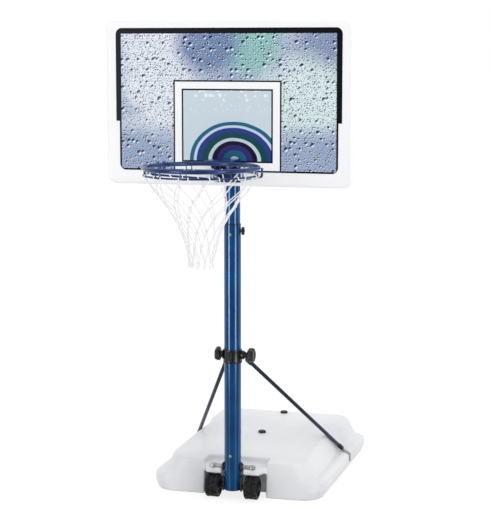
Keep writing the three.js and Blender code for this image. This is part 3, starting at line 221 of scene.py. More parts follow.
def blown(name, part):
    """The union of skins that run into each other, found on a grid of cells and relaxed by some passes, so
    that its edges are as round as those of a blown moulding."""
    rough = lay(name + "_parts", part)
    union = rough.modifiers.new("union", "REMESH")
    union.mode, union.voxel_size = "VOXEL", MOULD_CELL
    relax = rough.modifiers.new("relax", "SMOOTH")
    relax.factor, relax.iterations = 0.5, MOULD_PASSES
    bpy.context.view_layer.update()
    mesh = bpy.data.meshes.new_from_object(rough.evaluated_get(bpy.context.evaluated_depsgraph_get()))
    bpy.data.objects.remove(rough)
    mesh.name = name
    mesh.polygons.foreach_set("use_smooth", np.ones(len(mesh.polygons), bool))
    return put(name, mesh)


def stacked(side, plan, middle):
    """Rings up a moulded side, each the plan at that row's height and inset, and then in over the deck
    towards its middle."""
    rings = [np.column_stack([spread(plan(*row), PLAN_POINTS), np.full(PLAN_POINTS, row[0])])
             for row in eased(side, 5)]
    crown = np.array([0, middle, TANK_DECK])
    return np.stack(rings + [crown + (rings[-1] - crown) * share for share in np.linspace(0.97, 0.03, 40)])


def tank_plan(height, inset):
    """The whole tank's outline, with a front that leans back evenly from the floor."""
    return roundbox(
        (inset - TANK_HALF, TANK_FRONT + height * FRONT_LEAN), (TANK_HALF - inset, TANK_REAR - inset),
        TANK_CORNER, 12)


def shoulder_plan(height, inset):
    """The outline of the rear half's fuller shoulder."""
    return roundbox(
        (inset - TANK_HALF, SHOULDER_FRONT + inset), (TANK_HALF - inset, SHOULDER_REAR - inset),
        SHOULDER_CORNER, 12)


tank_rings = stacked(TANK_SIDE, tank_plan, TANK_MIDDLE)
shoulder = stacked(SHOULDER_SIDE, shoulder_plan, SHOULDER_MIDDLE)
y = tank_rings[..., 1]
slope = np.clip((SLOPE_START - y) / (SLOPE_START - SLOPE_END), 0, 1)
lip = np.clip((SLOPE_END - y) / (SLOPE_END - TANK_FRONT), 0, 1)
deck_height = TANK_DECK - SLOPE_DROP * slope - LIP_DROP * lip
tank_rings[..., 2] = np.minimum(tank_rings[..., 2], deck_height)
rear = np.maximum(tank_rings, [-np.inf, NOTCH_REAR, -np.inf])
right_lobe = np.maximum(tank_rings, [NOTCH_HALF, -np.inf, -np.inf])
left_lobe = np.minimum(tank_rings, [-NOTCH_HALF, np.inf, np.inf])
shelf_outline = eased([
    (-148, 122), (-148, 49), (-123, -14), (-50, -14), (-50, 56), (50, 56), (50, -14), (123, -14), (148, 49),
    (148, 122)], SHELF_ROUND, 3, True)
shelf = prism(shelf_outline, SHELF_TOP - SHELF_THICK, SHELF_TOP)
tank_parts = gather(skin(rear), skin(right_lobe), skin(left_lobe), skin(shoulder), shelf)
tank = blown("tank_moulding", tank_parts)
white_polyethylene = finish(
    "white_polyethylene", [(215, 216, 221), (223, 224, 227), (229, 230, 232)], patch=0.5, grain=0.0022,
    relief=0.00012, roughness=0.42)
fit(tank, white_polyethylene, "base", "tank_plastic", "base_tank")

# Ballast
# The water that fills the tank up to below its deck and holds the hoop down. It is closed in, so it shows
# only where the tank is opened.


def refinish(material, *nodes):
    """Gives parts that keep their own shape a finer finish."""
    for node in nodes:
        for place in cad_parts[node].material_slots:
            place.material = material


still_water = finish(
    "still_water", [(120, 160, 175), (136, 176, 188)], patch=0.3, grain=0.02, relief=0.0004, roughness=0.08)
refinish(still_water, "ballast_fill")

# Filler caps
# Two black polypropylene screw caps on the deck's middle line, through which the tank is filled. Each has
# a ribbed edge for the fingers and a shallow dished face.
CAP_PLACES = {"front": 508, "rear": 935}
CAP_RIBS, CAP_POINTS, RIB_DEPTH = 36, 288, 0.7
# The gap between seated parts, and the radius at which the end faces of turned parts close.
SEAT_GAP, CORE = 0.3, 0.3


def circle(count):
    """Turns at even distances round a circle."""
    return np.linspace(0, 2 * np.pi, count, endpoint=False)


def turned(profile, centre, axis, sides, loop=False, relief=0.0):
    """A body of revolution: each (radius, height) of the profile, with the relief (ring, turn) added to its
    radius, swept round the axis through the centre."""
    radius, height = profile.T
    turn = circle(sides)
    out = radius[:, None] + np.broadcast_to(relief, (len(radius), sides))
    level = np.broadcast_to(height[:, None], out.shape)
    rings = np.stack([out * np.cos(turn), out * np.sin(turn), level], -1)[..., AXES[axis]]
    return skin(rings + centre, loop)


black_plastic = finish(
    "black_plastic", [(16, 17, 19), (22, 23, 26), (29, 30, 33)], patch=0.06, grain=0.0012, relief=0.00008,
    roughness=0.42, specular=0.4)
cap_side = eased([
    (CORE, -15.7), (13.5, -15.7), (13.5, 0), (18.3, 0), (18.3, 8), (16.5, 10), (12, 10), (11, 8.6),
    (CORE, 8.6)], 0.8, 3)
edge_share = np.exp(-(((cap_side[:, 1] - 4.5) / 3.2) ** 4)) * (cap_side[:, 0] > 17)
ribs = RIB_DEPTH / 2 * edge_share[:, None] * (np.cos(CAP_RIBS * circle(CAP_POINTS)) - 1)
for place, at in CAP_PLACES.items():
    cap = turned(cap_side, (0, at, TANK_DECK + SEAT_GAP), "z", CAP_POINTS, relief=ribs)
    fit(lay(f"filler_cap_{place}", cap), black_plastic, f"fill_cap_{place}", "cap_plastic", f"fill_cap_{place}")

# Poles
# Two round steel tubes with gloss blue powder paint. The upper one slides in the lower one through a black
# nylon bushing, and a moulded plug closes its top.
LOWER_RADIUS, LOWER_BORE, LOWER_SPAN = 38.1, 36.5, (40, 1254)
UPPER_RADIUS, UPPER_BORE, UPPER_SPAN = 34.925, 33.125, (700, 2010)


def wall(bore, radius, low, high, edge, steps=2):
    """The section of a sleeve's wall, with rounded edges, to be turned as a loop."""
    return eased([(bore, low), (radius, low), (radius, high), (bore, high)], edge, steps, True)


blue_paint = finish(
    "blue_paint", [(5, 62, 108), (8, 70, 118), (12, 78, 128)], patch=0.12, grain=0.0016, relief=0.00003,
    roughness=0.14, metallic=0.25, shift=0.03)
for name, body, bore, radius, span in (
        ("lower", "base", LOWER_BORE, LOWER_RADIUS, LOWER_SPAN),
        ("upper", "upper", UPPER_BORE, UPPER_RADIUS, UPPER_SPAN)):
    tube = turned(wall(bore, radius, *span, 0.7, 3), (0, 0, 0), "z", 128, True)
    fit(lay(f"{name}_pole_tube", tube), blue_paint, body, "pole_paint", f"pole_{name}")
plug_side = eased([
    (CORE, 1992), (32.7, 1992), (32.7, 2010.3), (34.9, 2010.3), (33, 2014.3), (CORE, 2014.8)], 1.2, 3)
fit(lay("pole_top_plug", turned(plug_side, (0, 0, 0), "z", 96)), black_plastic, "upper", "black_plastic",
    "pole_cap")
bushing_side = eased([
    (35.4, 1198), (36.2, 1198), (36.2, 1254.3), (37.9, 1254.3), (37.9, 1256.5), (35.4, 1256.5)], 0.4, 2, True)
fit(lay("nylon_bushing", turned(bushing_side, (0, 0, 0), "z", 96, True)), black_plastic, "base",
    "black_plastic", "pole_bushing")

# Pole screws
# Two zinc-plated pan-head screws in the front of the lower pole: the upper one keeps the bushing in its
# place, and the lower one pins the pole's foot.
zinc_plate = finish(
    "zinc_plate", [(148, 150, 152), (163, 165, 166), (176, 177, 177)], patch=0.012, grain=0.0006,
    relief=0.00002, roughness=0.3, metallic=0.85)


def screw(place, axis, way, length, shank=3.0, head=6.5, thick=3.5):
    """A pan-head screw: a straight shank, a domed head with height = thick sqrt(1 - (r/head)^2), and a
    round driver pit. The way is +1 or -1 along the axis, from the shank to the head."""
    dome = np.linspace(1, 0.4, 8)
    crown = np.column_stack([head * dome, 0.8 + (thick - 0.8) * np.sqrt(1 - (dome * 0.98) ** 2)])
    side = np.vstack([
        [(CORE, -length), (shank * 0.7, -length), (shank, 1.2 - length), (shank, 0), (head, 0)], crown,
        [(head * 0.34, thick * 0.45), (CORE, thick * 0.4)]])
    return turned(side * [1, way], place, axis, 40)


for name, height, length, node in (
        ("bushing_pan_screw", 1211, 3.1, "bushing_screw"), ("foot_pan_bolt", 202, 6.8, "foot_bolt")):
    pan_head = screw((0, -LOWER_RADIUS - SEAT_GAP, height), "y", -1, length)
    fit(lay(name, pan_head), zinc_plate, "base", "zinc_steel", node)

# Height lock
# A threaded boss welded to the right of the lower pole, and a two-lobed black nylon hand knob whose steel
# stud goes through it and presses on the upper tube.
LOCK_HEIGHT = 1225


def edged(low, high, edge, steps=3):
    """(inset, height) pairs up a flat piece's side, with both of its edges a quarter of a circle, and a
    narrow flat band inside each edge that keeps the faces flat."""
    t = np.linspace(0, np.pi / 2, steps + 1)
    foot = np.column_stack([edge * (1 - np.sin(t)), low + edge * (1 - np.cos(t))])
    head = np.column_stack([edge * (1 - np.cos(t)), high - edge * (1 - np.sin(t))])
    return np.vstack([[(edge * 1.2, low)], foot, head, [(edge * 1.2, high)]])


def plate(outline, section, axis):
    """A flat piece: at each (inset, height) of the section, the outline moved inwards by the inset along
    its own normals, which halve the angle at each point."""
    before = outline - np.roll(outline, 1, 0)
    after = np.roll(outline, -1, 0) - outline
    before, after = [arm / np.linalg.norm(arm, axis=1, keepdims=True) for arm in (before, after)]
    bisector = before + after
    normal = np.stack([bisector[:, 1], -bisector[:, 0]], 1)
    normal /= np.maximum(np.sum(normal * np.stack([before[:, 1], -before[:, 0]], 1), 1, keepdims=True), 0.35)
    area = np.sum(outline[:, 0] * np.roll(outline[:, 1], -1) - outline[:, 1] * np.roll(outline[:, 0], -1))
    rings = [np.column_stack([outline - np.sign(area) * normal * inset, np.full(len(outline), height)])
             for inset, height in section]
    return skin(np.stack(rings)[..., AXES[axis]])


boss = turned(wall(4.4, 8, 38.4, 42.4, 0.7), (0, 0, LOCK_HEIGHT), "x", 48, True)
fit(lay("lock_boss_ring", boss), blue_paint, "base", "pole_paint", "lock_boss")
lobe_arc = np.radians(np.linspace(-30, 210, 13))
top_lobe = np.stack([7 * np.cos(lobe_arc), 11 + 7 * np.sin(lobe_arc)], 1)
lock_outline = spread(eased(np.vstack([top_lobe, -top_lobe]), 3, 3, True), 96) + [0, LOCK_HEIGHT]
lock_body = plate(lock_outline, edged(42.7, 54.7, 2.4, 4), "x")
hub_side = eased([(CORE, 35.2), (4, 35.2), (4, 42), (7.5, 42.8), (7.5, 55), (6, 56.4), (CORE, 56.4)], 0.8, 3)
lock_hub = turned(hub_side, (0, 0, LOCK_HEIGHT), "x", 40)
fit(lay("lock_hand_knob", gather(lock_body, lock_hub)), black_plastic, "lock_knob", "knob_plastic", "lock_knob")

# Pivot rod
# A grey steel rod across the pole's foot. It lies on the tank's shelf under two bent straps, each held by
# a pair of screws, and a tapered plastic bush on each side keeps the pole in the middle.
ROD_HEIGHT, CLAMP_PLACE, CLAMP_HALF = 147, 92, 8
SIDES = {"left": -1, "right": 1}
grey_steel = finish(
    "grey_steel", [(150, 152, 156), (170, 172, 176), (188, 190, 193)], patch=0.02, grain=0.0009,
    relief=0.00004, roughness=0.38, metallic=0.35)


def bar(radius, half, height, edge, sides):
    """A solid bar that lies across the hoop at a height, with rounded ends."""
    side = eased([(CORE, -half), (radius, -half), (radius, half), (CORE, half)], edge, 3)
    return turned(side, (0, 0, height), "x", sides)


def half_ring(radius, height=0.0, steps=16):
    """Points over the upper half of a circle, from right to left."""
    turn = np.radians(np.linspace(0, 180, steps + 1))
    return np.stack([radius * np.cos(turn), height + radius * np.sin(turn)], 1)


fit(lay("foot_cross_rod", bar(8.5, 107, ROD_HEIGHT, 1.4, 48)), grey_steel, "base", "zinc_steel", "pivot_rod")
strap_outline = np.vstack([
    [(23.3, 138.5), (23.3, 141), (11.8, 141)], half_ring(11.3, ROD_HEIGHT)[1:-1],
    [(-11.8, 141), (-23.3, 141), (-23.3, 138.5), (-8.8, 138.5)], half_ring(8.8, ROD_HEIGHT)[::-1][1:-1],
    [(8.8, 138.5)]])
for side, s in SIDES.items():
    strap = plate(strap_outline, edged(s * CLAMP_PLACE - CLAMP_HALF, s * CLAMP_PLACE + CLAMP_HALF, 0.5, 2), "x")
    studs = [screw((s * CLAMP_PLACE, way * 17.6, 141.2), "z", 1, 2.0, shank=2.2, head=4.6, thick=2.6)
             for way in (-1, 1)]
    fit(lay(f"rod_strap_{side}", gather(strap, *studs)), grey_steel, "base", "zinc_steel", f"rod_clamp_{side}")
    bush_side = eased([(8.9, 38.4), (22, 38.4), (21, 41), (13, 49.4), (8.9, 49.4)], 1, 3, True) * [1, s]
    fit(lay(f"rod_side_bush_{side}", turned(bush_side, (0, 0, ROD_HEIGHT), "x", 64, True)), black_plastic,
        "base", "black_plastic", f"rod_bush_{side}")

# Wheels
# Two black moulded wheels with blocks round the tread, on a steel axle through a plastic saddle behind the
# pole. They stand just clear of the floor until the hoop is tipped back, and then it rolls on them.
AXLE_HEIGHT, WHEEL_PLACE, WHEEL_RADIUS, WHEEL_POINTS = 53, 91, 48, 288
TREAD_HALF, TREAD_ROW, TREAD_GROOVE = 27.8, 15.8, 4.0
BLOCK_COUNT, BLOCK_SHARE, BLOCK_HEIGHT = 12, 0.68, 4.5
SPOKE_COUNT, SPOKE_HEIGHT, SPOKE_MIDDLE, SPOKE_REACH = 6, 2.2, 26, 8
saddle_outline = np.vstack([
    [(45.5, -14)], half_ring(45.5, steps=24), [(-45.5, -14), (-38.5, -14)],
    half_ring(38.9, steps=24)[::-1], [(38.5, -14)]])
saddle = plate(saddle_outline, edged(34, 98, 1.6, 3), "z")
fit(lay("foot_saddle", saddle), black_plastic, "base", "black_plastic", "axle_saddle")
fit(lay("axle_rod", bar(6, 125, AXLE_HEIGHT, 1, 40)), zinc_plate, "base", "zinc_steel", "wheel_axle")
tread_black = finish(
    "tread_black", [(13, 13, 14), (20, 20, 21), (28, 28, 29)], patch=0.03, grain=0.0014, relief=0.00012,
    roughness=0.55, specular=0.3)
face = eased([
    (6.4, -30), (15, -30), (15, -22), (18, -21.4), (33, -22.4), (36, -23), (37, -30), (46, -30),
    (WHEEL_RADIUS, -TREAD_HALF)], 1.1, 2)
tread = np.linspace(0.1 - TREAD_HALF, TREAD_HALF - 0.1, 57)
tread = np.column_stack([np.full(len(tread), WHEEL_RADIUS), tread])
wheel_side = np.vstack([face, tread, face[::-1] * [1, -1]])
around = circle(WHEEL_POINTS)
pitch = 2 * np.pi / BLOCK_COUNT
lane = (wheel_side[:, 1] + TREAD_HALF) / (TREAD_ROW + TREAD_GROOVE)
along_lane = (lane - np.floor(lane)) * (TREAD_ROW + TREAD_GROOVE)
step = np.mod(around[None] + np.floor(lane)[:, None] % 2 * pitch / 2, pitch) / pitch
across_block = np.clip(np.minimum(along_lane + 0.9, TREAD_ROW - along_lane + 0.6) / 1.6, 0, 1)
round_block = np.clip(np.minimum(step, BLOCK_SHARE - step) * pitch * 50 / 1.4, 0, 1)
on_tread = wheel_side[:, 0] > WHEEL_RADIUS - 0.1
blocks = BLOCK_HEIGHT * across_block[:, None] * round_block * on_tread[:, None]
spoke_share = np.exp(-(((wheel_side[:, 0] - SPOKE_MIDDLE) / SPOKE_REACH) ** 4))
spokes = SPOKE_HEIGHT * spoke_share[:, None] * (1 + np.cos(SPOKE_COUNT * around)) / 2
for side, s in SIDES.items():
    wheel = turned(wheel_side, (s * WHEEL_PLACE, 0, AXLE_HEIGHT), "x", WHEEL_POINTS, True, relief=blocks)
    wheel[0][:, 0] += np.sign(wheel[0][:, 0] - s * WHEEL_PLACE) * spokes.ravel()
    fit(lay(f"tread_wheel_{side}", wheel, 30), tread_black, f"wheel_{side}", "wheel_plastic", f"wheel_{side}")
    spacer = turned(wall(6.4, 10, 45.8, 60.7, 0.6) * [1, s], (0, 0, AXLE_HEIGHT), "x", 40, True)
    fit(lay(f"axle_sleeve_{side}", spacer), black_plastic, "base", "black_plastic", f"axle_spacer_{side}")
    cap_section = eased([
        (CORE, 125.3), (6.4, 125.3), (6.4, 121.3), (11, 121.3), (11, 124), (8.5, 127.1), (CORE, 127.3)], 0.6,
        3) * [1, s]
    push_cap = turned(cap_section, (0, 0, AXLE_HEIGHT), "x", 48)
    fit(lay(f"axle_push_cap_{side}", push_cap), black_plastic, "base", "black_plastic", f"axle_cap_{side}")

# Strut collar
# A black nylon collar clamped round the lower pole. It has a round boss on each side, whose steel stud
# carries a strut's eye under a five-lobed hand knob. The right boss and knob are the longer ones.
STUD_HEIGHT, COLLAR_LOW, COLLAR_HIGH = 664, 627, 689
BOSS_FACES = {"left": 46, "right": 53}
KNOB_NECKS, KNOB_THICKS = {"left": 2, "right": 10}, {"left": 22, "right": 30}
KNOB_LOBES, KNOB_POINTS, LOBE_DEPTH = 5, 160, 5.2
EYE_THICK = 8


def panel(half, low, high, corner):
    """The outline of a flat panel about the hoop's middle line, with rounded corners."""
    return eased([(-half, low), (half, low), (half, high), (-half, high)], corner, 3, True)


collar_side = eased([
    (38.5, COLLAR_LOW), (42.2, COLLAR_LOW), (43.1, COLLAR_LOW + 6), (41.6, COLLAR_LOW + 9),
    (41.6, COLLAR_HIGH - 9), (43.1, COLLAR_HIGH - 6), (42.2, COLLAR_HIGH), (38.5, COLLAR_HIGH)], 1.4, 3, True)
collar_parts = [turned(collar_side, (0, 0, 0), "z", 128, True)]
for side, s in SIDES.items():
    boss_side = eased([
        (5.4, 40.5), (18.5, 40.5), (20.5, BOSS_FACES[side] - 3), (20.5, BOSS_FACES[side]),
        (5.4, BOSS_FACES[side])], 1, 3, True) * [1, s]
    collar_parts.append(turned(boss_side, (0, 0, STUD_HEIGHT), "x", 64, True))
collar_parts.append(plate(panel(9, 640, 682, 3), edged(-47, -41.5, 1.2), "y"))
glossy_nylon = finish(
    "glossy_nylon", [(17, 18, 21), (23, 24, 28), (30, 31, 35)], patch=0.06, grain=0.0012, relief=0.00004,
    roughness=0.24)
fit(lay("strut_clamp_collar", gather(*collar_parts)), glossy_nylon, "base", "black_plastic", "strut_collar")
refinish(zinc_plate, "collar_stud_left", "collar_stud_right")
lobe_wave = 1 - np.cos(KNOB_LOBES * circle(KNOB_POINTS))
for side, s in SIDES.items():
    back = BOSS_FACES[side] + EYE_THICK + 2 * SEAT_GAP
    front = back + KNOB_NECKS[side]
    end = front + KNOB_THICKS[side]
    knob_side = eased([
        (CORE, end - 5), (5.4, end - 5), (5.4, back), (12, back), (12, front + 1), (25, front),
        (33, front + 5), (33, end - 6), (28, end), (17, end), (14, end - 2.5), (CORE, end - 2.5)], 2, 4)
    lobe_share = np.clip((knob_side[:, :1] - 13) / 20, 0, 1) ** 2
    lobes = -LOBE_DEPTH / 2 * lobe_share * lobe_wave
    knob = turned(knob_side * [1, s], (0, 0, STUD_HEIGHT), "x", KNOB_POINTS, relief=lobes)
    fit(lay(f"star_hand_knob_{side}", knob), black_plastic, f"strut_knob_{side}", "knob_plastic",
        f"strut_knob_{side}")

# Struts
# A navy-painted steel tube on each side, from the collar down to the tank's edge. A black nylon eye is
# pressed on its top end, and a boot and a bent steel hook at its foot rest on the tank's side step.
STRUT_TOP, STRUT_END = np.array([27, 37.5, STUD_HEIGHT]), np.array([371, 625.5, 100.5])
FOOT = np.linalg.norm(STRUT_END - STRUT_TOP)
STRUT_RUN = (STRUT_END - STRUT_TOP) / FOOT
HOOK_HALF = 11


def rod(path, radius, sides, facing=(0, 0, 1), loop=False):
    """A round bar along a path of points: circle i lies square to the path at point i, with its own radius.
    Its first axis is the path's run crossed with the facing."""
    run = np.roll(path, -1, 0) - np.roll(path, 1, 0) if loop else np.gradient(path, axis=0)
    across = np.cross(run, np.broadcast_to(facing, path.shape))
    across /= np.linalg.norm(across, axis=1, keepdims=True)
    up = np.cross(across, run)
    up /= np.linalg.norm(up, axis=1, keepdims=True)
    turn = circle(sides)[None, :, None]
    size = np.broadcast_to(radius, len(path))[:, None, None]
    rings = path[:, None] + size * (np.cos(turn) * across[:, None] + np.sin(turn) * up[:, None])
    lengths = np.linalg.norm(np.diff(path, axis=0, append=path[:1]), axis=1)
    return skin(rings, loop, np.append(0, np.cumsum(lengths)))


def down(s, *distances):
    """Points on the left (-1) or right (1) strut's axis, at distances from its top end."""
    return (STRUT_TOP + STRUT_RUN * np.array(distances)[:, None]) * [s, 1, 1]


navy_paint = finish(
    "navy_paint", [(16, 25, 48), (22, 34, 60), (30, 44, 76)], patch=0.08, grain=0.0014, relief=0.00005,
    roughness=0.26, specular=0.3)
fall = STRUT_RUN * [0, 1, 1] / math.hypot(*STRUT_RUN[1:])
for side, s in SIDES.items():
    body = f"strut_{side}"
    brace_tube = rod(down(s, 60, 61, FOOT - 1, FOOT), [8.4, 9, 9, 8.4], 32)
    fit(lay(f"brace_tube_{side}", brace_tube), navy_paint, body, "strut_paint", f"strut_tube_{side}")
    near = BOSS_FACES[side] + SEAT_GAP
    eye_side = wall(5.4, 15, near, near + EYE_THICK, 1.2, 3) * [1, s]
    eye = turned(eye_side, (0, 0, STUD_HEIGHT), "x", 64, True)
    eye_centre = np.array([s * (near + EYE_THICK / 2), 0, STUD_HEIGHT])
    arm_line = eased([eye_centre + fall * 9, eye_centre + fall * 37, *down(s, 60, 66)], 14, 6)
    arm = rod(arm_line, np.linspace(4, 9.8, len(arm_line)), 24, (1, 0, 0))
    sleeve = rod(down(s, 50, 52, 56, 84, 88, 90), [10, 11.8, 12.5, 12.5, 11.8, 9.8], 32)
    fit(lay(f"brace_eye_{side}", gather(eye, arm, sleeve)), black_plastic, body, "black_plastic",
        f"strut_eye_{side}")
    boot = rod(
        down(s, FOOT - 32, FOOT - 31, FOOT - 29, FOOT - 2, FOOT + SEAT_GAP), [9.8, 10.8, 11.2, 11.2, 10.4], 32)
    fit(lay(f"brace_boot_{side}", boot), black_plastic, body, "black_plastic", f"strut_boot_{side}")
    plug = rod(down(s, FOOT - 34, FOOT - 1, FOOT + 12), [7.1, 7.1, 6.4], 24)
    tip = down(1, FOOT + 12)[0]
    strap_line = [
        (tip[0] - 3.2, tip[2]), (407.4, 72.4), (409.4, 38), (412.6, 38), (410.6, 75.2),
        (tip[0] + 3.2, tip[2] + 3.2)]
    strap_edge = eased(strap_line, 2.5, 3, True) * [s, 1]
    hook = plate(strap_edge, edged(tip[1] - HOOK_HALF, tip[1] + HOOK_HALF, 0.6, 2), "y")
    fit(lay(f"brace_hook_{side}", gather(plug, hook)), zinc_plate, body, "zinc_steel", f"strut_hook_{side}")

# Backboard
# One hollow white polyethylene moulding with round corners and edges. Shallow pockets pressed into its back
# stiffen it on both sides of a flat middle band, where the mounts are bolted on.
BOARD_HALF, BOARD_LOW, BOARD_TOP, BOARD_CORNER, BOARD_ROUND = 559, 1431, 2155, 42, 12
BOARD_FRONT, BOARD_BACK = -83.925, -45.925
BOARD_POINTS, FRONT_INSET, BACK_INSETS = 480, 200, (18, 352)
POCKET_COLUMNS = [(150, 325), (350, 520)]
POCKET_ROWS = [(1470, 1615), (1640, 1785), (1810, 1955), (1980, 2116)]
POCKET_SLOPE, POCKET_DEPTH = 14, 9


def board_ring(inset, depth):
    """The board's outline drawn in by an inset, at one depth. A corner gets tighter as the inset grows."""
    plan = spread(roundbox((inset - BOARD_HALF, BOARD_LOW + inset), (BOARD_HALF - inset, BOARD_TOP - inset),
                           max(BOARD_CORNER - inset, 3), 10), BOARD_POINTS)
    return np.column_stack([plan[:, 0], np.full(BOARD_POINTS, depth), plan[:, 1]])


def within(place, spans):
    """1 inside any of the spans and 0 outside them, with a slope inside each end."""
    return np.max([
        np.clip(np.minimum(place - low, high - place) / POCKET_SLOPE, 0, 1) for low, high in spans], axis=0)


round_side = edged(BOARD_FRONT, BOARD_BACK, BOARD_ROUND, 6)
board_rings = np.stack([
    board_ring(FRONT_INSET, BOARD_FRONT), *[board_ring(*row) for row in round_side],
    *[board_ring(inset, BOARD_BACK) for inset in np.linspace(*BACK_INSETS, 64)]])
share = within(np.abs(board_rings[..., 0]), POCKET_COLUMNS) * within(board_rings[..., 2], POCKET_ROWS)
behind = board_rings[..., 1] > BOARD_BACK - 0.01
board_rings[..., 1] -= POCKET_DEPTH * share ** 2 * (3 - 2 * share) * behind
board_white = finish(
    "board_white", [(246, 247, 249), (248, 249, 251), (250, 250, 252)], patch=0.4, grain=0.002,
    relief=0.00008, roughness=0.36)
fit(lay("board_moulding", skin(board_rings)), board_white, "upper", "board_plastic", "board_panel")

# Printed film
# A thin glossy film bonded to the board's front. It is printed with water drops on soft blue, green and
# lavender grounds, a dark band round the top, and plain half rings in the target square.
FILM_HALF, FILM_NARROW, FILM_LOW, FILM_STEP, FILM_TOP, FILM_CORNER = 513, 497, 1494, 1711, 2119, 28
FILM_FRONT, FILM_BACK = -84.825, -84.225
# The print below is in metres: soft washes (tone, centre, reach), drops (cell, shift, share) and lines.
WASHES = [
    ((238, 243, 250), (-0.30, 1.92), (0.18, 0.30)), ((134, 198, 190), (0.1, 2.06), (0.14, 0.15)),
    ((90, 120, 172), (-0.09, 2.05), (0.14, 0.13)), ((124, 144, 184), (0.47, 2.03), (0.16, 0.15)),
    ((224, 243, 241), (0.38, 1.80), (0.20, 0.18)), ((148, 168, 202), (0.42, 1.55), (0.25, 0.13)),
    ((146, 166, 200), (-0.42, 1.54), (0.22, 0.13))]
DROP_SIZES = [(0.0066, 3.1, 0.95), (0.0115, 11.3, 0.6), (0.024, 23.9, 0.36)]
FRAME_HALF, FRAME_LOW, FRAME_TOP, FRAME_CORNER, BAND_WIDTH = 0.513, 1.477, 2.119, 0.028, 0.0245
TARGET_HALF, TARGET_TOP, PICTURE_HALF, PICTURE_RISE, PICTURE_MIDDLE = 0.245, 1.892, 0.2, 0.153, 1.695
RING_MIDDLE, RING_SCALE = (0.035, 1.545), 4.4
RING_STOPS = [
    (0, (198, 214, 226)), (0.1, (33, 100, 132)), (0.24, (48, 46, 118)), (0.36, (16, 18, 38)),
    (0.45, (198, 214, 226)), (0.52, (15, 72, 78)), (0.66, (44, 60, 140)), (0.76, (198, 214, 226)),
    (0.82, (33, 100, 132)), (0.9, (204, 218, 228))]


class Ink:
    """A value that varies over the film. Arithmetic on it adds the Math node of that operation."""

    def __init__(self, socket):
        self.socket = socket

    def do(self, operation, *others, clamp=False):
        values = [value.socket if isinstance(value, Ink) else value for value in (self, *others)]
        return Ink(grow(self.socket.id_data, "Math", dict(enumerate(values)), operation=operation,
                        use_clamp=clamp).outputs[0])

    def __add__(self, other):
        return self.do("ADD", other)

    def __sub__(self, other):
        return self.do("SUBTRACT", other)

    def __mul__(self, other):
        return self.do("MULTIPLY", other)

    def __truediv__(self, other):
        return self.do("DIVIDE", other)

    def under(self, edge, soft=0.0008):
        """1 below the edge and 0 above it, with a slope as wide as soft between them."""
        return (self * -1 + edge).do("MULTIPLY_ADD", 1 / soft, 0.5, clamp=True)


def lay_over(share, below, above, blend="MIX"):
    """One ink laid over another where the share is 1."""
    return grow(share.socket.id_data, "Mix", {0: share.socket, 6: below, 7: above}, data_type="RGBA",
                blend_type=blend).outputs[2]


def water_drops(tree, plane, cell, shift, share):
    """Round drops, one in each Voronoi cell of the given size, with radii from the cell's own random
    colour. Gives where the drops are, and how far each point lies towards the upper left of its drop."""
    grown = grow(tree, "VectorMath", {0: plane, 1: (1 / cell,) * 3, 2: (shift, shift * 1.7, 0)},
                 operation="MULTIPLY_ADD").outputs[0]
    cells = grow(tree, "TexVoronoi", {"Vector": grown, "Scale": 1}, voronoi_dimensions="2D").outputs
    offset = grow(tree, "VectorMath", {0: grown, 1: cells["Position"]}, operation="SUBTRACT").outputs[0]
    lit = grow(tree, "VectorMath", {0: offset, 1: (-0.55, 0.83, 0)}, operation="DOT_PRODUCT").outputs["Value"]
    channels = grow(tree, "SeparateColor", {0: cells["Color"]}).outputs
    radius = Ink(channels[0]) * 0.3 + 0.12
    shown = Ink(channels[1]).under(share, 0.02)
    return Ink(cells["Distance"]).under(radius, 0.09) * shown, Ink(lit) / radius


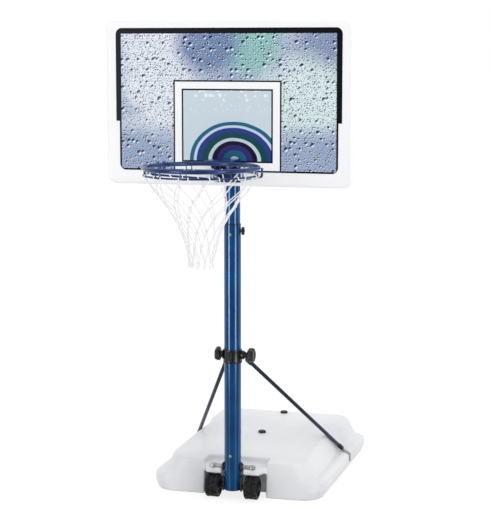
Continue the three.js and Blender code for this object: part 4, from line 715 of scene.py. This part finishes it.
def print_material():
    """The film's print, worked out from the distances of its own lines and from noise, in metres."""
    material, tree = blank("printed_film")
    split = grow(tree, "SeparateXYZ", {0: grow(tree, "TexCoord").outputs["Object"]}).outputs
    plane = grow(tree, "CombineXYZ", {"X": split["X"], "Y": split["Z"]}).outputs[0]
    cloud = Ink(grow(tree, "TexNoise", {"Vector": plane, "Scale": 5, "Detail": 4}).outputs["Fac"]) - 0.5
    across, up = Ink(split["X"]), Ink(split["Z"])
    ground = lay_over(cloud.under(0, 0.25), ink(158, 175, 210), ink(218, 227, 241))
    for tone, centre, reach in WASHES:
        side, rise = (across - centre[0]) / reach[0], (up - centre[1]) / reach[1]
        far = (side * side + rise * rise).do("SQRT") + cloud * 1.1
        ground = lay_over(far.under(1, 0.7) * 0.9, ground, ink(*tone))
    for size in DROP_SIZES:
        drop, lit = water_drops(tree, plane, *size)
        shade = drop * (lit + 0.35).do("MULTIPLY", 1.6, clamp=True)
        glint = drop * (lit * -1 - 0.1).do("MULTIPLY", 1.8, clamp=True)
        ground = lay_over(shade, ground, ink(52, 66, 100), "MULTIPLY")
        ground = lay_over(glint, ground, ink(244, 248, 253))

    middle = across.do("ABSOLUTE")
    outer = middle.do("MAXIMUM", up - TARGET_TOP + TARGET_HALF)
    inner = middle.do("MAXIMUM", (up - PICTURE_MIDDLE).do("ABSOLUTE") + (PICTURE_HALF - PICTURE_RISE))
    for square, half, tone in (
            (outer, TARGET_HALF + 0.0005, (10, 12, 16)), (outer, TARGET_HALF - 0.0065, (250, 251, 252)),
            (inner, PICTURE_HALF + 0.0072, (12, 14, 18))):
        ground = lay_over(square.under(half), ground, ink(*tone))
    side, rise = across - RING_MIDDLE[0], up - RING_MIDDLE[1]
    ripple = (side * side + rise * rise * 1.5).do("SQRT") + cloud * 0.012
    rings = tone_ramp(tree, (ripple * RING_SCALE).socket, RING_STOPS, "CONSTANT")
    drop, lit = water_drops(tree, plane, 0.021, 5.5, 0.5)
    spray = drop * (up - 1.74).do("MULTIPLY", 9, clamp=True)
    picture = lay_over(spray, rings, ink(246, 248, 250))
    ground = lay_over(inner.under(PICTURE_HALF), ground, picture)

    past_side = middle - (FRAME_HALF - FRAME_CORNER)
    past_end = (up - (FRAME_LOW + FRAME_TOP) / 2).do("ABSOLUTE") - ((FRAME_TOP - FRAME_LOW) / 2 - FRAME_CORNER)
    out, over = past_side.do("MAXIMUM", 0.0), past_end.do("MAXIMUM", 0.0)
    deep = past_side.do("MAXIMUM", past_end).do("MINIMUM", 0.0)
    edge = ((out * out + over * over).do("SQRT") + deep) * -1 + FRAME_CORNER
    ground = lay_over(edge.under(BAND_WIDTH), ground, ink(5, 7, 16))
    fine = grow(tree, "TexNoise", {"Vector": plane, "Scale": 900}).outputs["Fac"]
    gloss = Ink(fine) * 0.12 + 0.2
    bump = grow(tree, "Bump", {"Height": fine, "Distance": 0.00002})
    wire(
        tree.nodes["Principled BSDF"], {"Base Color": ground, "Roughness": gloss.socket,
        "Normal": bump.outputs["Normal"], "Specular IOR Level": 0.15})
    return material


film_outline = roundbox((-FILM_HALF, FILM_LOW), (FILM_HALF, FILM_TOP), FILM_CORNER, 10)
upper_half, lower_half = np.split(film_outline, 2)
lower_half = lower_half * [FILM_NARROW / FILM_HALF, 1]
film_outline = np.vstack([
    upper_half, [(-FILM_HALF, FILM_STEP), (-FILM_NARROW, FILM_STEP)], lower_half,
    [(FILM_NARROW, FILM_STEP), (FILM_HALF, FILM_STEP)]])
film = plate(film_outline, edged(FILM_FRONT, FILM_BACK, 0.15, 2), "y")
fit(lay("drop_print_film", film), print_material(), "upper", "graphic_film", "board_graphic")

# Board mounts
# Two zinc-plated bent steel plates behind the board, each with a pair of ears bolted through the upper
# pole. Four screws hold the upper plate to the board, and the rim's bolts hold the lower one.
refinish(zinc_plate, *[
    f"{part}_{place}" for part in ("board_mount", "mount_bolt", "mount_nut") for place in ("lower", "upper")])
for number, (at, height) in enumerate(((-82, 1935), (82, 1935), (-82, 1975), (82, 1975)), 1):
    back_screw = screw((at, -42.325, height), "y", 1, 15.0)
    fit(lay(f"back_pan_screw_{number}", back_screw), zinc_plate, "upper", "zinc_steel", f"mount_screw_{number}")

# Rim
# A ring of steel bar in gloss blue paint with a thinner wire ring hung under it on short posts, which the
# net is looped over. A folded bracket holds the ring to the board, and two brace rods stiffen it.
RIM_CENTRE, RIM_HEIGHT, RIM_RADIUS, RIM_BAR = -464.925, 1539, 238.1, 9.5
WIRE_HEIGHT, WIRE_RADIUS = RIM_HEIGHT - 29.5, 4.0
LOOP_COUNT, LOOP_HALF, LOOP_RADIUS = 12, 12, 2.2
BRACKET_HALF, BRACKET_LOW, BRACKET_TOP, BRACKET_BACK, BRACKET_WALL = 62, 1448, 1552.8, -85.1, 4
rim_paint = finish(
    "rim_paint", [(28, 50, 100), (36, 60, 114), (48, 74, 128)], patch=0.05, grain=0.0014, relief=0.00003,
    roughness=0.16, metallic=0.3, shift=0.04)
rim_turn = circle(192)


def round_rim(turn, radius, height):
    """Points at the given turns, radii and heights about the ring's upright axis."""
    turn, radius, height = np.broadcast_arrays(turn, radius, height)
    return np.stack([radius * np.cos(turn), RIM_CENTRE + radius * np.sin(turn), height], -1)


ring_bar = rod(round_rim(rim_turn, RIM_RADIUS, RIM_HEIGHT), RIM_BAR, 28, loop=True)
wire_ring = rod(round_rim(rim_turn, RIM_RADIUS, WIRE_HEIGHT), WIRE_RADIUS, 16, loop=True)
wire_loops = []
for turn in circle(LOOP_COUNT):
    turns = turn + np.array([-1, -1, -1, 1, 1, 1]) * LOOP_HALF / RIM_RADIUS
    heights = np.array([RIM_HEIGHT, WIRE_HEIGHT + 4, WIRE_HEIGHT, WIRE_HEIGHT, WIRE_HEIGHT + 4, RIM_HEIGHT])
    loop_line = eased(round_rim(turns, RIM_RADIUS, heights), 6, 4)
    wire_loops.append(rod(loop_line, LOOP_RADIUS, 12, (np.cos(turn), np.sin(turn), 0)))
fit(lay("rim_hoop", gather(ring_bar, wire_ring, *wire_loops)), rim_paint, "upper", "rim_paint", "rim_ring")
bracket_parts = [
    plate(panel(BRACKET_HALF, BRACKET_LOW, BRACKET_TOP, 5),
          edged(BRACKET_BACK - BRACKET_WALL, BRACKET_BACK, 0.8), "y"),
    plate(panel(BRACKET_HALF, -226.8, BRACKET_BACK, 7),
          edged(BRACKET_TOP - BRACKET_WALL, BRACKET_TOP, 0.8), "z")]
cheek = eased([(-87.1, 1448), (-87.1, 1550.8), (-216.6, 1550.8), (-216.6, 1526.8), (-89.1, 1448)], 4, 3, True)
bracket_parts += [plate(cheek, edged(at, at + BRACKET_WALL, 0.7), "x") for at in (-36, 32)]
fit(lay("rim_bracket_fold", gather(*bracket_parts)), rim_paint, "upper", "rim_paint", "rim_bracket")
bolt_side = eased([
    (CORE, -94), (4.5, -94), (7.5, -91.6), (7.5, -89.4), (4, -89.4), (4, -35.7), (CORE, -35.7)], 0.7, 3)
nut_corners = 7 * np.stack([np.cos(circle(6)), np.sin(circle(6))], 1)
for number, (at, height) in enumerate(((-50, 1474), (50, 1474), (-50, 1520), (50, 1520)), 1):
    nut = plate(nut_corners + [at, height], edged(-42.3, -36.4, 0.6, 2), "y")
    bolt = gather(turned(bolt_side, (at, 0, height), "y", 40), nut)
    fit(lay(f"rim_carriage_bolt_{number}", bolt), zinc_plate, "upper", "zinc_steel", f"rim_bolt_{number}")
reach, bearing = RIM_RADIUS + RIM_BAR + 5.3, np.pi / 12
for side, s in SIDES.items():
    tip = np.array([s * reach * np.cos(bearing), RIM_CENTRE + reach * np.sin(bearing), RIM_HEIGHT])
    knee = tip - [0, 0, RIM_BAR + 28]
    brace_line = eased([(s * 57, -94.4, 1460), knee, tip], 16, 8)
    fit(lay(f"rim_brace_rod_{side}", rod(brace_line, 5, 24, (1, 0.2, 0))), rim_paint, "upper", "rim_paint",
        f"rim_brace_{side}")

# Net
# Twelve cords of braided white nylon. Each is looped over the rim's wire, its two legs run down opposite
# ways and are knotted to the legs they cross, and the ends hang free under the last row of knots.
CORD_RADIUS, KNOT_RADIUS = 2.3, 1.9
NET_TOP_RADIUS, NET_LENGTH, NET_COLUMNS, NET_ROWS = 236, 404, 12, 6
NET_RADII = NET_TOP_RADIUS * np.array([1.0, 0.83, 0.635, 0.455, 0.335, 0.26, 0.22])
NET_HEIGHTS = RIM_HEIGHT - NET_LENGTH * np.array([0.1, 0.235, 0.385, 0.54, 0.685, 0.84, 1])
HALF_PITCH = np.pi / NET_COLUMNS
stray = np.random.default_rng(11).uniform(-1, 1, (NET_ROWS + 1, 2 * NET_COLUMNS, 3)) * [3, 3, 4]


def curve(points, steps=5):
    """A smooth line through points: the Catmull-Rom cubic on each span, from its own two points and the
    ones before and after."""
    points = np.vstack([2 * points[:1] - points[1:2], points, 2 * points[-1:] - points[-2:-1]])
    p0, p1, p2, p3 = [points[i:len(points) - 3 + i, None] for i in range(4)]
    t = np.linspace(0, 1, steps, endpoint=False)[None, :, None]
    line = 0.5 * (2 * p1 + (p2 - p0) * t + (2 * p0 - 5 * p1 + 4 * p2 - p3) * t ** 2
                  + (3 * p1 - p0 - 3 * p2 + p3) * t ** 3)
    return np.vstack([line.reshape(-1, points.shape[1]), points[-2:-1]])


def leg(column, way):
    """Half of a cord, from under its loop to its free end: its knots, with a point between each two."""
    rows = np.arange(1, NET_ROWS + 1)
    places = 2 * column + way * rows
    over = 1.6 * way * (-1.0) ** rows
    knots = round_rim(places * HALF_PITCH, NET_RADII[1:] + over, NET_HEIGHTS[1:])
    knots = knots + stray[rows, places % (2 * NET_COLUMNS)]
    line = np.empty((2 * NET_ROWS - 1, 3))
    line[::2], line[1::2] = knots, (knots[1:] + knots[:-1]) / 2
    end = round_rim((2 * column + way * 6.3) * HALF_PITCH, NET_RADII[-1] + 2 * way, NET_HEIGHTS[-1] - 14)
    return np.vstack([line, end])


def twist(turn):
    """The net's own axes at a turn round the rim: along the rim, outwards and up."""
    return np.array([[-np.sin(turn), np.cos(turn), 0], [np.cos(turn), np.sin(turn), 0], [0, 0, 1]])


wrap = np.radians(np.concatenate([np.linspace(235, -55, 15), [-75, -90, -105], np.linspace(-125, -415, 15)]))
slide = np.concatenate([np.linspace(-22, -17, 15), [-9, 0, 9], np.linspace(17, 22, 15)]) / RIM_RADIUS
round_wire = WIRE_RADIUS + CORD_RADIUS
loop_radii, loop_heights = RIM_RADIUS + round_wire * np.cos(wrap), WIRE_HEIGHT + round_wire * np.sin(wrap)
cords = []
for column in range(NET_COLUMNS):
    turn = 2 * column * HALF_PITCH
    loop_over = round_rim(turn + slide, loop_radii, loop_heights)
    cord_line = curve(np.vstack([leg(column, -1)[::-1], loop_over, leg(column, 1)]))
    cords.append(rod(cord_line, CORD_RADIUS, 10, twist(turn)[0]))
tie = circle(36)
ring = 2 + np.cos(3 * tie)
trefoil = np.stack([ring * np.cos(2 * tie), np.sin(3 * tie), ring * np.sin(2 * tie)], -1) * [1.7, 1.5, 2.0]
for row in range(1, NET_ROWS + 1):
    for place in range(row % 2, 2 * NET_COLUMNS, 2):
        turn = place * HALF_PITCH
        centre = round_rim(turn, NET_RADII[row], NET_HEIGHTS[row]) + stray[row, place]
        cords.append(rod(centre + trefoil @ twist(turn), KNOT_RADIUS, 8, (0.3, 0.5, 0.8), True))


def braided_cord():
    """White nylon cord: two crossing waves in the cord's own UV make the braid's strands."""
    material = finish(
        "braided_cord", [(250, 251, 253), (253, 253, 254)], patch=0.02, grain=0.0012, relief=0.0002,
        roughness=0.7)
    tree = material.node_tree
    split = grow(tree, "SeparateXYZ", {0: grow(tree, "UVMap", uv_map="run").outputs[0]}).outputs
    turn, along = Ink(split["X"]) * (8 * math.pi), Ink(split["Y"]) * 1.9
    strands = (turn + along).do("SINE").do("MAXIMUM", (turn - along).do("SINE"))
    wire(tree.nodes["relief"], {"Height": strands.socket})
    return material


fit(lay("knotted_net", gather(*cords), 60), braided_cord(), "upper", "net_cord", "net")

# Studio
# A plain pale floor with the hoop's own shadow, even light from all round, and one large soft box above
# on the right. Two upright strips that only reflections see put the bright streaks on the round tubes.
# The camera stands where the photograph was taken.
CAMERA_PLACE, CAMERA_AIM = Vector((1.9378, -7.1764, 2.0277)), Vector((0.0556, -0.5337, 1.1175))
AIR_STRENGTH, AIR_SEEN = 1.04, 1.0
STRIPS = [(-49, 9.5), (42, 8)]
FLOOR_HALF, FLOOR_THICK, FLOOR_GLOW, FLOOR_SHARE = 30000, 20, 1.12, 0.72
LAMP_BEARING, LAMP_REACH, LAMP_HEIGHT, LAMP_AIM = 50, 9, 4.4, Vector((0, -0.5, 1.1))
world = bpy.data.worlds.new("studio_air")
bpy.context.scene.world = world
world.use_nodes = True
air = world.node_tree
glow = wire(air.nodes["Background"], {"Color": (1, 1, 1, 1)})
rays, ray_way = grow(air, "LightPath").outputs, grow(air, "TexCoord").outputs["Generated"]
view = math.atan2(CAMERA_PLACE.y - CAMERA_AIM.y, CAMERA_PLACE.x - CAMERA_AIM.x)


def along(x, y, z=0):
    """How far a ray from the hoop runs along a direction: their dot product."""
    return Ink(grow(air, "VectorMath", {0: ray_way, 1: (x, y, z)}, operation="DOT_PRODUCT").outputs["Value"])


seen = Ink(rays["Is Camera Ray"]).do("MAXIMUM", Ink(rays["Is Transmission Ray"]))
plain = seen * (AIR_SEEN - AIR_STRENGTH) + AIR_STRENGTH
room = along(math.cos(view), math.sin(view)).under(0, 0.5) * 0.8 + 0.2
level = along(0, 0, -1).under(0.2, 0.1) * along(0, 0, 1).under(0.1, 0.1)
for bearing, power in STRIPS:
    x, y = math.cos(view + math.radians(bearing)), math.sin(view + math.radians(bearing))
    strip = along(-y, x).do("ABSOLUTE").under(0.15, 0.06) * along(-x, -y).under(0)
    room = room + strip * (level * power + 1)
strength = plain + Ink(rays["Is Glossy Ray"]) * (room - plain)
wire(glow, {"Strength": strength.socket})

floor_outline = roundbox((-FLOOR_HALF, -FLOOR_HALF), (FLOOR_HALF, FLOOR_HALF), 10, 1)
floor_mesh = lay("studio_floor", prism(floor_outline, -FLOOR_THICK, 0))
floor_paint, sheet = blank("pale_floor")
matte = wire(
    sheet.nodes["Principled BSDF"], {"Base Color": (0.8, 0.8, 0.8, 1), "Roughness": 0.9,
    "Specular IOR Level": 0.0})
light = grow(sheet, "Emission", {"Strength": FLOOR_GLOW})
share = Ink(grow(sheet, "LightPath").outputs["Is Camera Ray"]) * FLOOR_SHARE
mixed = grow(sheet, "MixShader", {0: share.socket, 1: matte.outputs[0], 2: light.outputs[0]})
wire(sheet.nodes["Material Output"], {"Surface": mixed.outputs[0]})
floor_mesh.data.materials.append(floor_paint)

floor_mesh.visible_glossy = False
lamp = bpy.data.lights.new("overhead_softbox", "AREA")
lamp.shape, lamp.size, lamp.energy = "SQUARE", 4.0, 90
holder = put("overhead_softbox", lamp)
turn = view + math.radians(LAMP_BEARING)
holder.location = (LAMP_REACH * math.cos(turn), LAMP_REACH * math.sin(turn) + LAMP_AIM.y, LAMP_HEIGHT)
holder.rotation_euler = (LAMP_AIM - holder.location).to_track_quat("-Z", "Z").to_euler()

lens = bpy.data.cameras.new("photo_camera")
lens.sensor_width, lens.lens, lens.clip_end = 36, 110.3, 100
camera = put("photo_camera", lens)
camera.location = CAMERA_PLACE
camera.rotation_euler = (CAMERA_AIM - CAMERA_PLACE).to_track_quat("-Z", "Y").to_euler()
bpy.context.scene.camera = camera
bpy.context.scene.view_settings.view_transform = "Standard"
